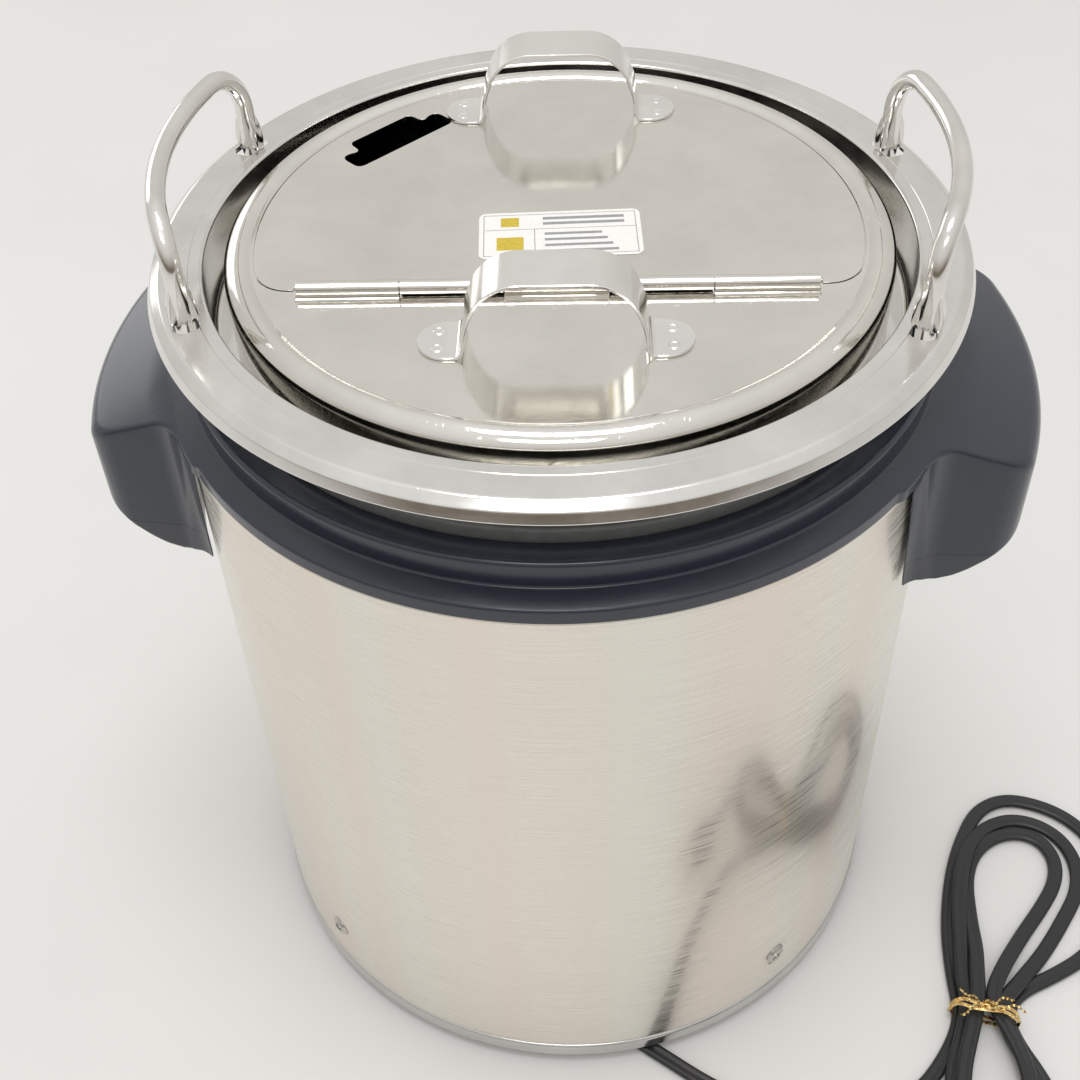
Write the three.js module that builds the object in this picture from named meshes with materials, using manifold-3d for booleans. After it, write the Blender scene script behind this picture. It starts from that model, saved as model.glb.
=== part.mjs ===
// Soup kettle: an electric countertop soup warmer. A lift-out steel pot hangs in a dry heated
// well inside a round brushed steel jacket, under a lid with a hinged front flap.
// Millimetres, +Z up. The origin is on the table under the middle of the kettle, the control
// panel faces -Y, the cord leaves at +Y and the two carrying handles lie along X.

import * as THREE from 'three';
import { mergeVertices } from 'three/addons/utils/BufferGeometryUtils.js';
import Module from 'manifold-3d';

const wasm = await Module();
wasm.setup();

// Facets and fits
const ROUND = 48;
const ROUND_INNER = 36;
const SMALL_ROUND = 12;
const GAP = 0.3;
const OVERCUT = 1;

// Jacket and base
const JACKET_R = 143.7;
const JACKET_WALL = 0.8;
const JACKET_BOTTOM = 13.9;
const JACKET_TOP = 294;
const JACKET_BEAD_R = 145.6;
const BASE_RING_R = 144.3;
const BASE_LIFT = 4.5;
const BASE_RING_TOP = 13.4;
const PAN_BOTTOM = 10;
const PAN_SHEET = 1.2;
const PAN_WALL_TOP = 45;
const FOOT_R = 9;
const FOOT_CIRCLE_R = 112;
const SCREW_ANGLE = 46.35;
const SCREW_Z = 34.5;
const SCREW_HEAD_R = 4.2;
const SCREW_SHANK_R = 1.8;
const SCREW_HOLE_R = 2.3;

// Plastic top ring with its two side handles
const RING_R = 146;
const RING_FLAT_Z = 300.5;
const COLLAR_R = 138;
const COLLAR_TOP = 312.9;
const COLLAR_BORE_R = 128.2;
const SHELF_R = 121.6;
const SHELF_Z = 306.5;
const SKIRT_BOTTOM = 282;
const HANDLE_R = 178;
const HANDLE_HALF_Y = 60.2;
const HANDLE_BORE_R = 145.2;
const HANDLE_BOTTOM = 235.5;
const HANDLE_SPLIT_Z = 248;
const POCKET_TOP = 283;
const POCKET_HALF_Y = 45;
const POCKET_OUTER_R = 174.5;
const POCKET_INNER_R = 147.7;

// Lift-out pot
const POT_TURN = 1.8;
const POT_BOTTOM = 62;
const POT_SHEET = 1.2;
const POT_R = 116.8;
const POT_MOUTH_R = 127.3;
const POT_STEP_Z = 317.7;
const FLANGE_R = 145;
const FLANGE_TOP = 343.2;
const FLANGE_LIP_BOTTOM = 336.7;
const POT_HANDLE_CIRCLE_R = 135;
const POT_HANDLE_ROD_R = 3.5;
const POT_HANDLE_HALF_ANGLE = 25;
const POT_HANDLE_RISE = 34;
const POT_HANDLE_CORNER = 18;
const POT_HANDLE_FOOT_DROP = 4.7;
const POT_HANDLE_EAR_HEIGHT = 12;

// Lid and flap
const LID_TURN = 4;
const LID_TOP = 344.5;
const LID_SHEET = 1;
const LID_R = 119;
const LEDGE_R = 101.5;
const LEDGE_TOP = 343.4;
const FLAP_R = 107.5;
const FLAP_REAR_Y = 37.7;
const FLAP_CORNER = 13;
const FLAP_TOP = 344.7;
const HINGE_Y = 40;
const HINGE_Z = 347;
const HINGE_HALF_X = 88;
const HINGE_BARREL_R = 2.5;
const HINGE_BORE_R = 1.45;
const HINGE_PIN_R = 1.15;
const KNUCKLES = 5;
const STRAP_WIDTH = 20;
const STRAP_SHEET = 1.2;
const STRAP_HALF_X = 30;
const STRAP_RISE = 28.5;
const STRAP_TAB_X = 45;
const REAR_STRAP_Y = 68;
const FRONT_STRAP_Y = -82;
const SLOT_DIRECTION = -45;

// Heated well and what hangs under it
const WELL_R = 121;
const WELL_SHEET = 0.8;
const WELL_BOTTOM = 50;
const WELL_FLANGE_R = 133;
const SENSOR_R = 9;
const SENSOR_STEM_R = 3;
const SENSOR_STEM_BOTTOM = 32;
const BRACKET_Z = 36;

// Control panel
const PANEL_Z = 95;
const PANEL_HALF_X = 50;
const PANEL_HALF_Z = 37;
const WINDOW_HALF_X = 46;
const WINDOW_HALF_Z = 33;
const HOUSING_BACK_Y = -127;
const FACEPLATE_R = 145.2;
const BUTTON_R = 7;
const BUTTON_PITCH = 28;
const BUTTON_Z = 80;

// Mains cord, a flat twin flex
const CORD_WIDTH = 7;
const CORD_THICKNESS = 3.4;
const CORD_LIE_Z = CORD_THICKNESS / 2 + 0.05;
const CORD_EXIT = [-19.3, 121.8, 5.2];
const CORD_HEADING = [-0.867, 0.498];
const BUSHING_LENGTH = 24;
const HANK_HEIGHT = 11;

const radians = THREE.MathUtils.degToRad;

const finishes = {
  potSteel: finish(0xc8c6c1, 0.18, 1),
  lidSteel: finish(0xbfbbb4, 0.2, 1),
  jacketSteel: finish(0xd0ccbe, 0.38, 1),
  baseSteel: finish(0xc4c4c2, 0.2, 1),
  sheetSteel: finish(0x9fa1a2, 0.45, 1),
  screwSteel: finish(0xa9aaa8, 0.3, 1),
  ringPlastic: finish(0x2b323d, 0.4, 0),
  linerPlastic: finish(0x3d4450, 0.5, 0),
  silicone: finish(0x7c7f83, 0.6, 0),
  rubber: finish(0x202124, 0.85, 0),
  mica: finish(0xa08a62, 0.6, 0),
  wool: finish(0xe2dfcf, 0.95, 0),
  panelPlastic: finish(0x33373d, 0.5, 0),
  faceplate: finish(0xc9cbcc, 0.4, 0),
  display: finish(0x4c5a52, 0.12, 0),
  buttonPlastic: finish(0xdadcdd, 0.45, 0),
  circuitBoard: finish(0x2f6b46, 0.5, 0),
  brass: finish(0xb99a53, 0.3, 1),
  cordPvc: finish(0x3a3a3b, 0.5, 0),
  tieFoil: finish(0xc7a047, 0.3, 1),
  label: finish(0xf3f2ec, 0.55, 0),
};

const kettle = new THREE.Group();
const pot = new THREE.Group();
const lid = new THREE.Group();
pot.rotation.z = radians(POT_TURN);
lid.rotation.z = radians(LID_TURN);
kettle.add(pot, lid);

function finish(color, roughness, metalness) {
  return new THREE.MeshStandardMaterial({ color, roughness, metalness });
}

// ---- Solids: every shape below is a closed manifold solid ----

function signedVolume(position, corners) {
  const [a, b, c] = [new THREE.Vector3(), new THREE.Vector3(), new THREE.Vector3()];
  let volume = 0;
  for (let i = 0; i < corners.length; i += 3) {
    a.fromBufferAttribute(position, corners[i]);
    b.fromBufferAttribute(position, corners[i + 1]);
    c.fromBufferAttribute(position, corners[i + 2]);
    volume += a.dot(b.cross(c)) / 6;
  }
  return volume;
}

// A three.js geometry as a solid: shared corners merged, slivers dropped, faces pointing out.
function solid(geometry) {
  geometry.deleteAttribute('normal');
  geometry.deleteAttribute('uv');
  const merged = mergeVertices(geometry, 1e-4);
  const corners = [];
  for (let i = 0; i < merged.index.count; i += 3) {
    const [a, b, c] = [0, 1, 2].map((k) => merged.index.getX(i + k));
    if (a !== b && b !== c && c !== a) corners.push(a, b, c);
  }
  if (signedVolume(merged.attributes.position, corners) < 0) corners.reverse();
  const vertProperties = new Float32Array(merged.attributes.position.array);
  const triVerts = new Uint32Array(corners);
  return new wasm.Manifold(new wasm.Mesh({ numProp: 3, vertProperties, triVerts }));
}

function add(group, name, shape, surface) {
  const { vertProperties, triVerts } = shape.getMesh();
  const geometry = new THREE.BufferGeometry();
  geometry.setAttribute('position', new THREE.BufferAttribute(vertProperties, 3));
  geometry.setIndex(new THREE.BufferAttribute(triVerts, 1));
  geometry.computeVertexNormals();
  const mesh = new THREE.Mesh(geometry, surface);
  mesh.name = name;
  group.add(mesh);
}

// A solid of revolution about Z from [radius, height] points.
function turned(profile, segments = ROUND) {
  const points = profile.map(([r, z]) => new THREE.Vector2(r, z));
  const closesOnAxis = profile[0][0] === 0 && profile.at(-1)[0] === 0;
  if (!closesOnAxis) points.push(points[0].clone());
  const geometry = new THREE.LatheGeometry(points, segments);
  geometry.rotateX(Math.PI / 2);
  return solid(geometry);
}

function tubeWall(inner, outer, z0, z1, segments = ROUND) {
  return turned([[inner, z0], [outer, z0], [outer, z1], [inner, z1]], segments);
}

function disc(radius, z0, z1, segments = SMALL_ROUND) {
  return turned([[0, z0], [radius, z0], [radius, z1], [0, z1]], segments);
}

function box(x0, x1, y0, y1, z0, z1) {
  const geometry = new THREE.BoxGeometry(x1 - x0, y1 - y0, z1 - z0);
  geometry.translate((x0 + x1) / 2, (y0 + y1) / 2, (z0 + z1) / 2);
  return solid(geometry);
}

// An outline drawn in X and Y, raised from z0 to z1.
function plate(outline, z0, z1, curveSegments = 8) {
  const options = { depth: z1 - z0, bevelEnabled: false, curveSegments };
  const geometry = new THREE.ExtrudeGeometry(outline, options);
  geometry.translate(0, 0, z0);
  return solid(geometry);
}

// An outline drawn in X and Z, stretched from y0 to y1.
function profileAlongY(outline, y0, y1, curveSegments = 6) {
  const options = { depth: y1 - y0, bevelEnabled: false, curveSegments };
  const geometry = new THREE.ExtrudeGeometry(outline, options);
  geometry.rotateX(Math.PI / 2);
  geometry.translate(0, y1, 0);
  return solid(geometry);
}

function rod(radius, from, to, segments = SMALL_ROUND) {
  const start = new THREE.Vector3(...from);
  const end = new THREE.Vector3(...to);
  const along = end.clone().sub(start);
  const geometry = new THREE.CylinderGeometry(radius, radius, along.length(), segments);
  const turn = new THREE.Quaternion();
  turn.setFromUnitVectors(new THREE.Vector3(0, 1, 0), along.clone().normalize());
  geometry.applyQuaternion(turn);
  geometry.translate(...start.add(end).multiplyScalar(0.5).toArray());
  return solid(geometry);
}

function polygon(points) {
  return new THREE.Shape(points.map(([x, y]) => new THREE.Vector2(x, y)));
}

function roundedRectangle(halfX, halfY, corner) {
  const outline = new THREE.Shape();
  outline.absarc(halfX - corner, -halfY + corner, corner, -Math.PI / 2, 0);
  outline.absarc(halfX - corner, halfY - corner, corner, 0, Math.PI / 2);
  outline.absarc(-halfX + corner, halfY - corner, corner, Math.PI / 2, Math.PI);
  outline.absarc(-halfX + corner, -halfY + corner, corner, Math.PI, Math.PI * 1.5);
  return outline;
}

// A bar of oval section, height by width, along a smooth line through the points.
function bar(points, height, width, sides, steps) {
  const route = new THREE.CatmullRomCurve3(points.map((p) => new THREE.Vector3(...p)));
  return barAlong(route, height, width, sides, steps);
}

function barAlong(route, height, width, sides, steps) {
  const section = [];
  for (let i = 0; i < sides; i += 1) {
    const angle = (i + 0.5) * 2 * Math.PI / sides;
    section.push([height / 2 * Math.cos(angle), width / 2 * Math.sin(angle)]);
  }
  const options = { steps, bevelEnabled: false, extrudePath: route };
  return solid(new THREE.ExtrudeGeometry(polygon(section), options));
}

function turnedBy(shape, degrees) {
  return shape.rotate([0, 0, degrees]);
}

// ---- Jacket and base ----

function screwDirection(degrees) {
  return [Math.cos(radians(degrees)), Math.sin(radians(degrees))];
}

function screwAngles() {
  return [SCREW_ANGLE, 180 - SCREW_ANGLE, 180 + SCREW_ANGLE, 360 - SCREW_ANGLE];
}

function screwHole(degrees) {
  const [x, y] = screwDirection(degrees);
  return rod(SCREW_HOLE_R, [x * 130, y * 130, SCREW_Z], [x * 155, y * 155, SCREW_Z], 8);
}

function drilled(shape) {
  return screwAngles().reduce((body, degrees) => body.subtract(screwHole(degrees)), shape);
}

function jacket() {
  const inner = JACKET_R - JACKET_WALL;
  const shell = turned([
    [inner, JACKET_BOTTOM], [JACKET_R, JACKET_BOTTOM], [JACKET_R, JACKET_TOP - 3],
    [JACKET_BEAD_R, JACKET_TOP - 1.8], [JACKET_BEAD_R, JACKET_TOP], [inner, JACKET_TOP],
  ]);
  const window = box(-WINDOW_HALF_X, WINDOW_HALF_X, -160, -100,
    PANEL_Z - WINDOW_HALF_Z, PANEL_Z + WINDOW_HALF_Z);
  return drilled(shell.subtract(window));
}

function basePan() {
  const wallR = JACKET_R - JACKET_WALL - 0.5;
  const seatR = 138.6;
  const seatZ = JACKET_BOTTOM + 0.1;
  const pan = turned([
    [0, PAN_BOTTOM], [seatR, PAN_BOTTOM], [seatR, seatZ], [wallR, seatZ],
    [wallR, PAN_WALL_TOP], [wallR - PAN_SHEET, PAN_WALL_TOP],
    [wallR - PAN_SHEET, seatZ + PAN_SHEET], [seatR - PAN_SHEET, seatZ + PAN_SHEET],
    [seatR - PAN_SHEET, PAN_BOTTOM + PAN_SHEET], [0, PAN_BOTTOM + PAN_SHEET],
  ], ROUND_INNER);
  let body = drilled(pan);
  for (let i = -1; i <= 1; i += 1) {
    const slot = plate(roundedRectangle(22, 3, 2.9), 0, 20, 2);
    body = body.subtract(slot.translate([0, -60 + i * 12, 0]));
  }
  const [x, y] = bushingPost();
  return body.subtract(disc(6.5, 0, 20).translate([x, y, 0]));
}

function baseRing() {
  const inner = 139.2;
  return turned([
    [inner, BASE_LIFT], [BASE_RING_R - 1, BASE_LIFT], [BASE_RING_R, BASE_LIFT + 1.2],
    [BASE_RING_R, BASE_RING_TOP - 0.8], [BASE_RING_R - 0.8, BASE_RING_TOP],
    [inner, BASE_RING_TOP],
  ]);
}

function foot() {
  const top = PAN_BOTTOM - GAP;
  return turned([[0, 0], [FOOT_R - 1.5, 0], [FOOT_R, 1.5], [FOOT_R - 1, top], [0, top]], SMALL_ROUND);
}

function jacketScrew(degrees) {
  const [x, y] = screwDirection(degrees);
  const at = (r) => [x * r, y * r, SCREW_Z];
  const seat = JACKET_R + GAP;
  const head = rod(SCREW_HEAD_R, at(seat), at(seat + 2.2), 12);
  return head.add(rod(SCREW_SHANK_R, at(seat - 7), at(seat + 1), 8));
}

function addJacketAndBase() {
  add(kettle, 'jacket', jacket(), finishes.jacketSteel);
  add(kettle, 'base_ring', baseRing(), finishes.baseSteel);
  add(kettle, 'base_pan', basePan(), finishes.sheetSteel);
  for (let i = 0; i < 4; i += 1) {
    const [x, y] = screwDirection(45 + 90 * i);
    const place = [x * FOOT_CIRCLE_R, y * FOOT_CIRCLE_R, 0];
    add(kettle, `foot_${i + 1}`, foot().translate(place), finishes.rubber);
  }
  screwAngles().forEach((degrees, i) => {
    add(kettle, `jacket_screw_${i + 1}`, jacketScrew(degrees), finishes.screwSteel);
  });
}

// ---- Top ring, side handles ----

function ringBody() {
  const jacketBore = JACKET_R - JACKET_WALL - 0.9;
  const underJacketTop = JACKET_TOP + GAP;
  return turned([
    [jacketBore - 2, SKIRT_BOTTOM], [jacketBore, SKIRT_BOTTOM], [jacketBore, underJacketTop],
    [RING_R, underJacketTop], [RING_R, RING_FLAT_Z - 1.2], [RING_R - 1.1, RING_FLAT_Z],
    [COLLAR_R + 0.6, RING_FLAT_Z], [COLLAR_R, RING_FLAT_Z + 0.6], [COLLAR_R, COLLAR_TOP - 1.2],
    [COLLAR_R - 1.2, COLLAR_TOP], [COLLAR_BORE_R, COLLAR_TOP], [COLLAR_BORE_R, SHELF_Z],
    [SHELF_R, SHELF_Z], [SHELF_R, SHELF_Z - 2.5], [COLLAR_BORE_R + 2.5, SHELF_Z - 2.5],
    [COLLAR_BORE_R + 2.5, COLLAR_TOP - 2.5], [COLLAR_R - 2.5, COLLAR_TOP - 2.5],
    [COLLAR_R - 2.5, RING_FLAT_Z - 2.5], [jacketBore - 2, RING_FLAT_Z - 2.5],
  ]);
}

// Plan of the +X handle: concave root on the ring, sloping ends and a round outer edge.
function handlePlan() {
  const cornerAngle = Math.asin(51 / HANDLE_R);
  const cornerX = HANDLE_R * Math.cos(cornerAngle);
  const outline = new THREE.Shape();
  outline.moveTo(118, -70.8);
  outline.lineTo(126.7, -70.8);
  outline.lineTo(129.2, -71.2);
  outline.quadraticCurveTo(135.5, -61.8, 142, -61.4);
  outline.lineTo(160, -HANDLE_HALF_Y);
  outline.quadraticCurveTo(168.2, -58.6, cornerX, -51);
  outline.absarc(0, 0, HANDLE_R, -cornerAngle, cornerAngle);
  outline.quadraticCurveTo(168.2, 58.6, 160, HANDLE_HALF_Y);
  outline.lineTo(142, 61.4);
  outline.quadraticCurveTo(135.5, 61.8, 129.2, 71.2);
  outline.lineTo(126.7, 70.8);
  outline.lineTo(118, 70.8);
  return outline;
}

// Side view of the +X handle: the top slopes out and the underside curls in to the jacket.
function handleSide() {
  return polygon([
    [118, HANDLE_BOTTOM], [144, HANDLE_BOTTOM], [153, 240], [161, 246.3], [167, 251.5],
    [171.5, 258.5], [175, 266], [HANDLE_R + 0.5, 268], [HANDLE_R + 0.5, 284.5], [176.5, 288.6],
    [172, 291.6], [150, RING_FLAT_Z], [118, RING_FLAT_Z],
  ]);
}

function handleSolid() {
  const outer = plate(handlePlan(), HANDLE_BOTTOM, RING_FLAT_Z);
  const block = outer.intersect(profileAlongY(handleSide(), -90, 90));
  const pocketSlab = tubeWall(POCKET_INNER_R, POCKET_OUTER_R, HANDLE_BOTTOM - OVERCUT, POCKET_TOP);
  const pocketBox = box(100, 200, -POCKET_HALF_Y, POCKET_HALF_Y,
    HANDLE_BOTTOM - 2 * OVERCUT, POCKET_TOP + OVERCUT);
  return block
    .subtract(disc(HANDLE_BORE_R, 200, JACKET_TOP - 3.5, ROUND))
    .subtract(disc(JACKET_BEAD_R + GAP, 200, JACKET_TOP + GAP, ROUND))
    .subtract(disc(RING_R - 5, 200, 400, ROUND))
    .subtract(pocketSlab.intersect(pocketBox));
}

function addRing() {
  const right = handleSolid();
  const splitTop = HANDLE_SPLIT_Z + GAP / 2;
  const upper = right.intersect(box(100, 200, -90, 90, splitTop, 400));
  const lower = right.intersect(box(100, 200, -64, 64, 200, HANDLE_SPLIT_Z - GAP / 2));
  const ring = ringBody().add(upper).add(turnedBy(upper, 180));
  add(kettle, 'top_ring', ring, finishes.ringPlastic);
  add(kettle, 'handle_liner_right', turnedBy(lower, 180), finishes.linerPlastic);
  add(kettle, 'handle_liner_left', lower, finishes.linerPlastic);
  const seal = turned([
    [118.6, SHELF_Z + GAP], [COLLAR_BORE_R - GAP, SHELF_Z + GAP],
    [COLLAR_BORE_R - GAP, POT_STEP_Z - GAP], [118.6, POT_STEP_Z - GAP],
  ]);
  add(kettle, 'pot_support_ring', seal, finishes.silicone);
}

// ---- Pot ----

function potShell() {
  const inner = POT_R - POT_SHEET;
  const mouth = POT_MOUTH_R - POT_SHEET;
  const floor = POT_BOTTOM + POT_SHEET;
  const step = POT_STEP_Z + POT_SHEET;
  return turned([
    [0, POT_BOTTOM], [104.8, POT_BOTTOM], [113.3, POT_BOTTOM + 3.5], [POT_R, POT_BOTTOM + 12],
    [POT_R, POT_STEP_Z - 1.7], [POT_R + 1.7, POT_STEP_Z], [POT_MOUTH_R - 1.8, POT_STEP_Z],
    [POT_MOUTH_R, POT_STEP_Z + 1.8], [POT_MOUTH_R, FLANGE_TOP - POT_SHEET],
    [FLANGE_R - POT_SHEET, FLANGE_TOP - POT_SHEET], [FLANGE_R - POT_SHEET, FLANGE_LIP_BOTTOM],
    [FLANGE_R, FLANGE_LIP_BOTTOM], [FLANGE_R, FLANGE_TOP - 1.3], [FLANGE_R - 1.3, FLANGE_TOP],
    [mouth + 1, FLANGE_TOP], [mouth, FLANGE_TOP - 1], [mouth, step], [inner + 1.5, step],
    [inner, step - 1.5], [inner, floor + 11.2], [112.4, floor + 3.2], [104.6, floor],
    [0, floor],
  ]);
}

// Where one foot of the +X wire handle stands, and which way it faces.
function potHandleFoot(side) {
  const angle = side * radians(POT_HANDLE_HALF_ANGLE);
  const place = [POT_HANDLE_CIRCLE_R * Math.cos(angle), POT_HANDLE_CIRCLE_R * Math.sin(angle), 0];
  return { degrees: side * POT_HANDLE_HALF_ANGLE, place };
}

function atPotHandleFoot(shape, side) {
  const { degrees, place } = potHandleFoot(side);
  return turnedBy(shape, degrees).translate(place);
}

// The pot's flange has a slot for each of the four feet of its wire handles.
function potBody() {
  const slot = () => plate(roundedRectangle(4.3, 7, 3), FLANGE_TOP - 4, FLANGE_TOP + OVERCUT, 3);
  return [-1, 1].reduce((body, side) => body
    .subtract(atPotHandleFoot(slot(), side))
    .subtract(turnedBy(atPotHandleFoot(slot(), side), 180)), potShell());
}

// The rod passes down through the flange, and its grip follows the flange with a round corner
// at each shoulder.
function potHandleRoute() {
  const foot = radians(POT_HANDLE_HALF_ANGLE) * POT_HANDLE_CIRCLE_R;
  const top = FLANGE_TOP + POT_HANDLE_RISE;
  const shoulder = foot - POT_HANDLE_CORNER;
  const bend = top - POT_HANDLE_CORNER;
  const flat = [[-foot, FLANGE_TOP - POT_HANDLE_FOOT_DROP], [-foot, (FLANGE_TOP + bend) / 2]];
  for (let i = 0; i <= 4; i += 1) {
    const angle = Math.PI - i * Math.PI / 8;
    flat.push([-shoulder + POT_HANDLE_CORNER * Math.cos(angle), bend + POT_HANDLE_CORNER * Math.sin(angle)]);
  }
  flat.push([-shoulder / 2, top], [0, top]);
  const mirrored = flat.slice(0, -1).reverse().map(([along, z]) => [-along, z]);
  return flat.concat(mirrored).map(([along, z]) => {
    const angle = along / POT_HANDLE_CIRCLE_R;
    return [POT_HANDLE_CIRCLE_R * Math.cos(angle), POT_HANDLE_CIRCLE_R * Math.sin(angle), z];
  });
}

// Two pinched ears at each foot rest on the flange.
function potHandle() {
  const rodWidth = 2 * POT_HANDLE_ROD_R;
  const ears = () => box(-5.4, 5.4, -2.5, 2.5, FLANGE_TOP + GAP, FLANGE_TOP + POT_HANDLE_EAR_HEIGHT);
  return bar(potHandleRoute(), rodWidth, rodWidth, 8, 30)
    .add(atPotHandleFoot(ears(), -1))
    .add(atPotHandleFoot(ears(), 1));
}

function addPot() {
  add(pot, 'inner_pot', potBody(), finishes.potSteel);
  add(pot, 'pot_handle_left', potHandle(), finishes.potSteel);
  add(pot, 'pot_handle_right', turnedBy(potHandle(), 180), finishes.potSteel);
}

// ---- Lid ----

// The flap is a round plate cut straight along its rear edge, with two round corners there.
function flapOutline(grow) {
  const cornerY = FLAP_REAR_Y - FLAP_CORNER;
  const cornerX = Math.sqrt((FLAP_R - FLAP_CORNER) ** 2 - cornerY ** 2);
  const turn = Math.atan2(cornerY, cornerX);
  const corner = FLAP_CORNER + grow;
  const outline = new THREE.Shape();
  outline.absarc(0, 0, FLAP_R + grow, Math.PI - turn, 2 * Math.PI + turn);
  outline.absarc(cornerX, cornerY, corner, turn, Math.PI / 2);
  outline.absarc(-cornerX, cornerY, corner, Math.PI / 2, Math.PI - turn);
  return outline;
}

// The ladle notch: a wide window with a narrower one behind it and a round tab at each side.
function ladleSlot() {
  const outline = new THREE.Shape();
  outline.moveTo(-21, 82.8);
  outline.lineTo(21, 82.8);
  outline.quadraticCurveTo(24, 83, 24, 86);
  outline.lineTo(24, 90.5);
  outline.quadraticCurveTo(23.5, 94.5, 19.5, 93.5);
  outline.quadraticCurveTo(15.5, 91.5, 15.5, 95.5);
  outline.quadraticCurveTo(15.5, 100, 12.5, 100);
  outline.lineTo(-12.5, 100);
  outline.quadraticCurveTo(-15.5, 100, -15.5, 95.5);
  outline.quadraticCurveTo(-15.5, 91.5, -19.5, 93.5);
  outline.quadraticCurveTo(-23.5, 94.5, -24, 90.5);
  outline.lineTo(-24, 86);
  outline.quadraticCurveTo(-24, 83, -21, 82.8);
  return turnedBy(plate(outline, LID_TOP - 10, LID_TOP + 10, 3), SLOT_DIRECTION - 90);
}

function knuckle(index) {
  const pitch = 2 * HINGE_HALF_X / KNUCKLES;
  const start = -HINGE_HALF_X + index * pitch + GAP / 2;
  const end = start + pitch - GAP;
  const onBase = index % 2 === 0;
  const side = onBase ? 1 : -1;
  const reach = [side * 0.6, side * 4];
  const web = box(start, end, HINGE_Y + Math.min(...reach), HINGE_Y + Math.max(...reach),
    onBase ? LEDGE_TOP - 0.5 : FLAP_TOP - LID_SHEET, HINGE_Z - 1.5);
  return rod(HINGE_BARREL_R, [start, HINGE_Y, HINGE_Z], [end, HINGE_Y, HINGE_Z], 10).add(web);
}

function knuckles(indexes) {
  const joined = indexes.map(knuckle).reduce((body, next) => body.add(next));
  const reach = HINGE_HALF_X + OVERCUT;
  return joined.subtract(rod(HINGE_BORE_R, [-reach, HINGE_Y, HINGE_Z], [reach, HINGE_Y, HINGE_Z], 10));
}

function hingeRelief(rearY, z0) {
  return box(-HINGE_HALF_X - GAP, HINGE_HALF_X + GAP, HINGE_Y - 2.9, rearY, z0, LID_TOP + 10);
}

function lidBase() {
  const inner = LID_R - 0.8;
  const under = LEDGE_TOP - LID_SHEET;
  const seat = POT_STEP_Z + POT_SHEET + GAP;
  const pressed = turned([
    [0, under], [108.4, under], [112.5, under + 1.6], [115.5, under + 0.4], [inner, under - 3],
    [inner, seat], [LID_R, seat], [LID_R, 340.5], [118.2, 342.8], [115.8, 344.9],
    [112.5, LID_TOP + 1.3], [110.6, LID_TOP + 0.8], [109.4, LID_TOP], [0, LID_TOP],
  ]);
  const opening = disc(LEDGE_R, 300, 400, ROUND).intersect(box(-120, 120, -120, 31.7, 300, 400));
  const rearHollow = disc(LEDGE_R, 300, LID_TOP - LID_SHEET, ROUND)
    .intersect(box(-120, 120, HINGE_Y + 6, 120, 300, 400));
  return pressed
    .subtract(plate(flapOutline(0.5), LEDGE_TOP, LID_TOP + 10))
    .subtract(hingeRelief(HINGE_Y + 2.9, LEDGE_TOP))
    .subtract(opening)
    .subtract(rearHollow)
    .add(knuckles([0, 2, 4]));
}

function lidFlap() {
  return plate(flapOutline(0), FLAP_TOP - LID_SHEET, FLAP_TOP)
    .subtract(ladleSlot())
    .subtract(hingeRelief(HINGE_Y, LID_TOP - 10))
    .add(knuckles([1, 3]));
}

// A bent strip: two feet flat on the sheet, two legs and a flat grip across the top.
function strapHandle(centreY, sheetTop) {
  const foot = sheetTop + GAP;
  const top = sheetTop + STRAP_RISE;
  const side = (out) => {
    const x = STRAP_HALF_X - out;
    const shoulder = 14 - out;
    const rim = top - out;
    const bend = 4 + out;
    const sole = foot + (out === 0 ? STRAP_SHEET : 0);
    return { x, shoulder, rim, bend, sole };
  };
  const outer = side(0);
  const inner = side(STRAP_SHEET);
  const outline = new THREE.Shape();
  outline.moveTo(-STRAP_TAB_X, outer.sole);
  outline.lineTo(-outer.x - outer.bend, outer.sole);
  outline.quadraticCurveTo(-outer.x, outer.sole, -outer.x, outer.sole + outer.bend);
  outline.lineTo(-outer.x, outer.rim - outer.shoulder);
  outline.quadraticCurveTo(-outer.x, outer.rim, -outer.x + outer.shoulder, outer.rim);
  outline.lineTo(outer.x - outer.shoulder, outer.rim);
  outline.quadraticCurveTo(outer.x, outer.rim, outer.x, outer.rim - outer.shoulder);
  outline.lineTo(outer.x, outer.sole + outer.bend);
  outline.quadraticCurveTo(outer.x, outer.sole, outer.x + outer.bend, outer.sole);
  outline.lineTo(STRAP_TAB_X, outer.sole);
  outline.lineTo(STRAP_TAB_X, inner.sole);
  outline.lineTo(inner.x + inner.bend, inner.sole);
  outline.quadraticCurveTo(inner.x, inner.sole, inner.x, inner.sole + inner.bend);
  outline.lineTo(inner.x, inner.rim - inner.shoulder);
  outline.quadraticCurveTo(inner.x, inner.rim, inner.x - inner.shoulder, inner.rim);
  outline.lineTo(-inner.x + inner.shoulder, inner.rim);
  outline.quadraticCurveTo(-inner.x, inner.rim, -inner.x, inner.rim - inner.shoulder);
  outline.lineTo(-inner.x, inner.sole + inner.bend);
  outline.quadraticCurveTo(-inner.x, inner.sole, -inner.x - inner.bend, inner.sole);
  outline.lineTo(-STRAP_TAB_X, inner.sole);
  const half = STRAP_WIDTH / 2;
  const strip = profileAlongY(outline, centreY - half, centreY + half, 4);
  const plan = roundedRectangle(STRAP_TAB_X, half - 0.01, half - 0.05);
  return strip.intersect(plate(plan, foot - OVERCUT, top + OVERCUT, 6).translate([0, centreY, 0]));
}

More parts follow.
